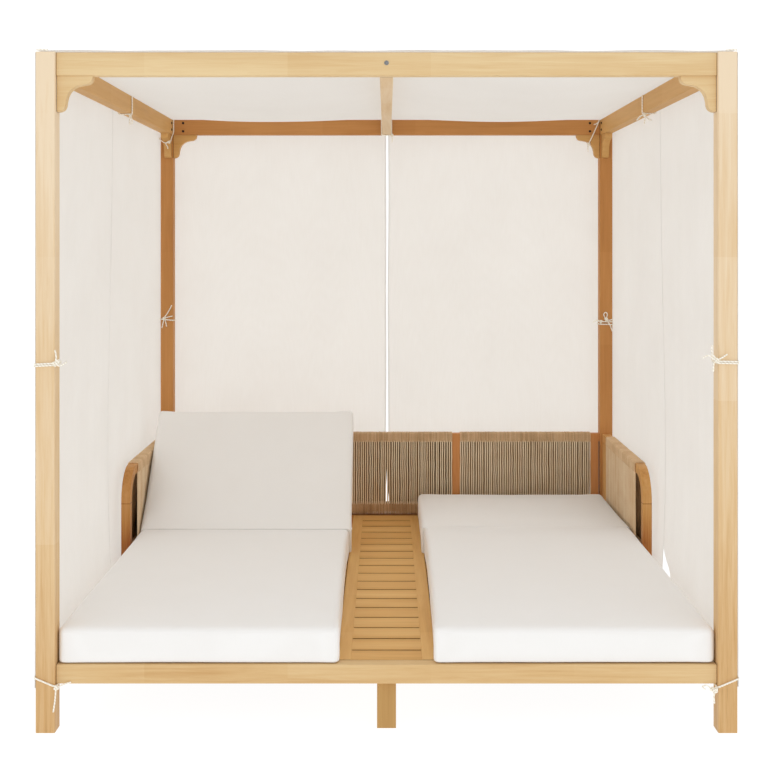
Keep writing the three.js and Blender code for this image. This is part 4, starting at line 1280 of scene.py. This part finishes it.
# In millimetres, each tie's name, the closed or open runs that hold it, its knots, and its tails from a knot
TIES = (
    ("front_left_middle", post_run(-1, -1, 1073, 0.05, 2, 5.6), [(-966, -1032, 1079), (-959, -1031, 1085)], [
        [(-965, -1033, 1082), (-962.5, -1033, 1099), (-966.5, -1031, 1119)],
        [(-964, -1032, 1077), (-952, -1031, 1073), (-940, -1029, 1079), (-933, -1028, 1084)],
    ]),
    ("front_right_middle", post_run(1, -1, 1080, -0.02, 2, 5.6), [(963, -1032, 1088), (953, -1030, 1096)], [
        [(953, -1030, 1096), (948.5, -1030, 1112), (949.5, -1029, 1133)],
        [(952, -1030, 1094), (940, -1030, 1103), (928, -1029, 1099), (922, -1028, 1095)],
        [(964, -1033, 1090), (976, -1032.5, 1096), (994, -1031, 1107)],
        [(962, -1031, 1087), (954, -1030, 1079), (953, -1029, 1056)],
    ]),
    ("rear_left_middle", post_run(-1, 1, 1083, -0.1), [(-1008, 965, 1090)], [
        [(-1008, 965, 1092), (-990, 965, 1118), (-974, 965.5, 1149)],
        [(-1008, 965, 1088), (-1014, 965, 1066), (-1018.5, 965.5, 1045)],
        [(-1006, 965, 1088), (-1001, 965, 1070), (-997.5, 965.5, 1052)],
        [(-1010, 964.5, 1092), (-996, 964, 1094), (-970, 964, 1100)],
    ]),
    ("rear_right_middle", post_run(1, 1, 1062, -0.02, 2), [(972, 965, 1075), (996, 965, 1085)], [
        [(973, 965, 1075), (955, 964, 1081), (936, 964, 1071)],
        [(996, 965, 1088), (990, 964, 1094), (985, 963.5, 1105), (989, 963.5, 1115),
         (997, 964, 1115), (1001, 964, 1106), (998.5, 963, 1096), (998, 962.5, 1088)],
        [(997, 962, 1083), (1012, 961, 1060), (1023, 963, 1031)],
        [(996, 964, 1082), (1012, 963, 1081), (1028, 964, 1087)],
    ]),
    ("front_left_foot", post_run(-1, -1, 149, -0.42), [(-963, -1030, 134.5)], [
        [(-964, -1030, 133), (-966.5, -1031, 98), (-972, -1029, 63)],
        [(-962, -1029, 135), (-945, -1017, 139), (-924, -1014.5, 145)],
    ]),
    ("front_right_foot", post_run(1, -1, 147, 0.42), [(960, -1029, 127), (952, -1022, 126)], [
        [(951, -1022, 127), (937, -1015, 136), (925, -1014.5, 131), (933, -1015, 124)],
        [(959, -1029, 125), (955, -1028, 108), (957, -1027, 88)],
    ]),
    ("left_beam_middle", beam_run(-990.5, 50, 25.5), [(-972, 50, 1916.5)], [
        [(-972, 50, 1915), (-974.5, 52, 1900), (-973.5, 53, 1880)],
        [(-971, 49, 1915), (-965, 47, 1901), (-963, 46.5, 1882)],
    ]),
    ("right_beam_middle", beam_run(990.5, 26, 25.5), [(972, 26, 1916.5)], [
        [(971, 26, 1916), (956, 24, 1908), (943, 23.5, 1893)],
        [(973, 26, 1915), (986, 27, 1902), (1000, 27.5, 1893)],
        [(972, 26, 1915), (974, 25, 1898), (972.5, 24.5, 1880)],
    ]),
    ("rear_left_top", [([(-963, 992, 1992.5), (-964.5, 964, 1990.5), (-965.5, 963, 1966), (-965.5, 960, 1934),
                         (-970, 940, 1908), (-971.5, 919, 1890), (-980, 914.5, 1884),
                         (-993, 916, 1881.5), (-1002, 918, 1884)], False)], [(-978, 913, 1885)], [
        [(-1000, 918, 1883), (-1011, 915, 1889.5), (-1018, 913, 1897), (-1021.5, 912, 1904)],
        [(-995, 916, 1883), (-990, 920, 1872), (-986, 929, 1863), (-985, 930, 1855)],
    ]),
    ("rear_right_top", [([(967, 992, 1992.5), (966, 966.5, 1990.5), (944, 966, 1938), (918, 968, 1882)],
                         False)], [(917, 969, 1880)], [
        [(918, 969, 1879), (913, 969, 1862), (915, 970, 1846)],
        [(966, 965.5, 1985), (952, 965, 1972), (940, 965.5, 1968)],
    ]),
    ("rafter_end", beam_run(0, 955, 22.5), [(23.5, 953, 1920)], [
        [(24, 953, 1919), (26.5, 952, 1904), (24.5, 952, 1886)],
    ]),
    ("front_left_top", [], [], [
        [(-1022, -1024, 1994.8), (-1010, -1026.2, 1996.2), (-994, -1026.2, 1994.8), (-988, -1025.5, 1994.5)],
    ]),
    ("front_right_top", [], [], [
        [(1024, -1024, 1994.8), (1010, -1026.2, 1996.2), (992, -1026.2, 1994.2)],
    ]),
)


class TieStrings(bpy.types.Operator):
    """Ties the canvas to the posts and beams with cotton strings"""

    bl_idname = "daybed.tie_strings"
    bl_label = "Tie strings"

    def execute(self, context):
        s = context.scene.daybed_ties
        tree = string_tree()
        values = {"Radius": s.diameter / 2, "String": cotton_string("twisted_cotton_string")}
        tail_diameter = s.diameter * 0.9
        for number, (name, runs, knots, tails) in enumerate(TIES):
            paths = [(smooth_path(path, 4, closed), closed) for path, closed in runs]
            paths += [(knot_path(at, 0.0021, 0.7 * number), True) for at in knots]
            if paths:
                keep_on_frame(grown(f"{name}_tie", tree, values, path_mesh(name, paths)))
            for index, tail in enumerate(tails):
                path = smooth_path(tail, 8)
                label = f"{name}_tail_{index + 1}"
                thinner = values | {"Radius": tail_diameter / 2}
                piece = grown(label, tree, thinner, path_mesh(label, [(path, False)]))
                keep_on_frame(piece)
        return {"FINISHED"}


def path_mesh(name, paths):
    """The edges of several paths, each open or closed"""
    points, edges = [], []
    for path, closed in paths:
        start = len(points)
        points += path
        edges += [(i, i + 1) for i in range(start, len(points) - 1)]
        if closed:
            edges.append((len(points) - 1, start))
    return new_mesh(name, points, edges)


# Camera, lights and ground

class BuildStage(bpy.types.Operator):
    """Builds the floor, the soft lights and the camera"""

    bl_idname = "daybed.build_stage"
    bl_label = "Build stage"

    def execute(self, context):
        s = context.scene.daybed_stage
        self.ground(s)
        self.lights(s)
        self.camera(s)
        context.scene.view_settings.view_transform = "Standard"
        return {"FINISHED"}

    def ground(self, s):
        profile = [(-9.0, 0.0), (4.0, 0.0)]
        profile += [(4.0 + 2 * math.sin(a), 2 - 2 * math.cos(a)) for a in np.linspace(0.1, math.pi / 2, 12)]
        profile.append((6.0, 9.0))
        points = [(x, y, z) for y, z in profile for x in (-11.0, 11.0)]
        faces = [(2 * i, 2 * i + 1, 2 * i + 3, 2 * i + 2) for i in range(len(profile) - 1)]
        mesh = new_mesh("studio_sweep", points, faces=faces)
        mesh.shade_smooth()
        mesh.materials.append(self.acrylic(s))
        new_object("studio_sweep", mesh)

    def acrylic(self, s):
        """Acrylic sheet, cast and lit from behind: even white with a faint cloud"""
        material, tree, place = new_material("backlit_acrylic_sweep")
        cloud = stretched_noise(tree, place, 2, 2.0)
        stops = [(at, (*[share * c for c in s.floor], 1.0)) for at, share in ((0.3, 0.14), (0.7, 0.16))]
        surface(tree, {
            "Base Color": ramp(tree, cloud, stops),
            "Roughness": 0.85,
            "Emission Color": (*s.floor, 1.0),
            "Emission Strength": 0.95,
        })
        return material

    def lights(self, s):
        world = bpy.data.worlds.new("studio")
        bpy.context.scene.world = world
        world.use_nodes = True
        background = world.node_tree.nodes["Background"]
        background.inputs["Color"].default_value = (1.0, 1.0, 1.0, 1.0)
        background.inputs["Strength"].default_value = s.daylight
        for name, place, power in (
            ("front_key", (-8.0, -22.0, 7.5), s.key_power),
            ("front_fill", (8.0, -21.0, 5.5), 0.5 * s.key_power),
        ):
            light = bpy.data.lights.new(name, "AREA")
            light.shape = "SQUARE"
            light.size = 11.0
            light.energy = power
            lamp = new_object(name, light)
            lamp.location = place
            lamp.visible_camera = False
            lamp.rotation_euler = (Vector((0, 0, 1)) - Vector(place)).to_track_quat("-Z", "Y").to_euler()

    def camera(self, s):
        data = bpy.data.cameras.new("studio_camera")
        data.lens = s.lens
        data.sensor_width = 36
        data.shift_x = -0.0033
        data.shift_y = -0.1836
        data.clip_end = 100
        camera = new_object("studio_camera", data)
        camera.location = (0, -s.eye_distance, s.eye_height)
        camera.rotation_euler = (math.pi / 2, 0, 0)
        bpy.context.scene.camera = camera


OPERATORS = (
    BuildStage, FinishTimbers, LayWalkway, FitBolts, WindRopes, StuffMattresses, HangCurtains, SpreadRoof, TieStrings,
)
GROUPS = {
    "daybed_timber": TimberSettings,
    "daybed_rope": RopeSettings,
    "daybed_pads": PadSettings,
    "daybed_canvas": CanvasSettings,
    "daybed_ties": TieSettings,
    "daybed_bolts": BoltSettings,
    "daybed_stage": StageSettings,
}


class DaybedPanel(bpy.types.Panel):
    """Lists the daybed's pieces and their settings"""

    bl_idname = "VIEW3D_PT_daybed"
    bl_label = "Canopy Daybed"
    bl_space_type = "VIEW_3D"
    bl_region_type = "UI"
    bl_category = "Daybed"

    def draw(self, context):
        for operator in OPERATORS:
            self.layout.operator(operator.bl_idname)
        for name in GROUPS:
            settings = getattr(context.scene, name)
            box = self.layout.box()
            for field in settings.__annotations__:
                box.prop(settings, field)


def register():
    for kind in (*GROUPS.values(), *OPERATORS, DaybedPanel):
        bpy.utils.register_class(kind)
    for name, kind in GROUPS.items():
        setattr(bpy.types.Scene, name, bpy.props.PointerProperty(type=kind))


def unregister():
    for name in GROUPS:
        delattr(bpy.types.Scene, name)
    for kind in (DaybedPanel, *reversed(OPERATORS), *reversed(GROUPS.values())):
        bpy.utils.unregister_class(kind)


def main():
    register()
    for operator in OPERATORS:
        area, name = operator.bl_idname.split(".")
        getattr(getattr(bpy.ops, area), name)()
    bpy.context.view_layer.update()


if __name__ == "__main__":
    main()
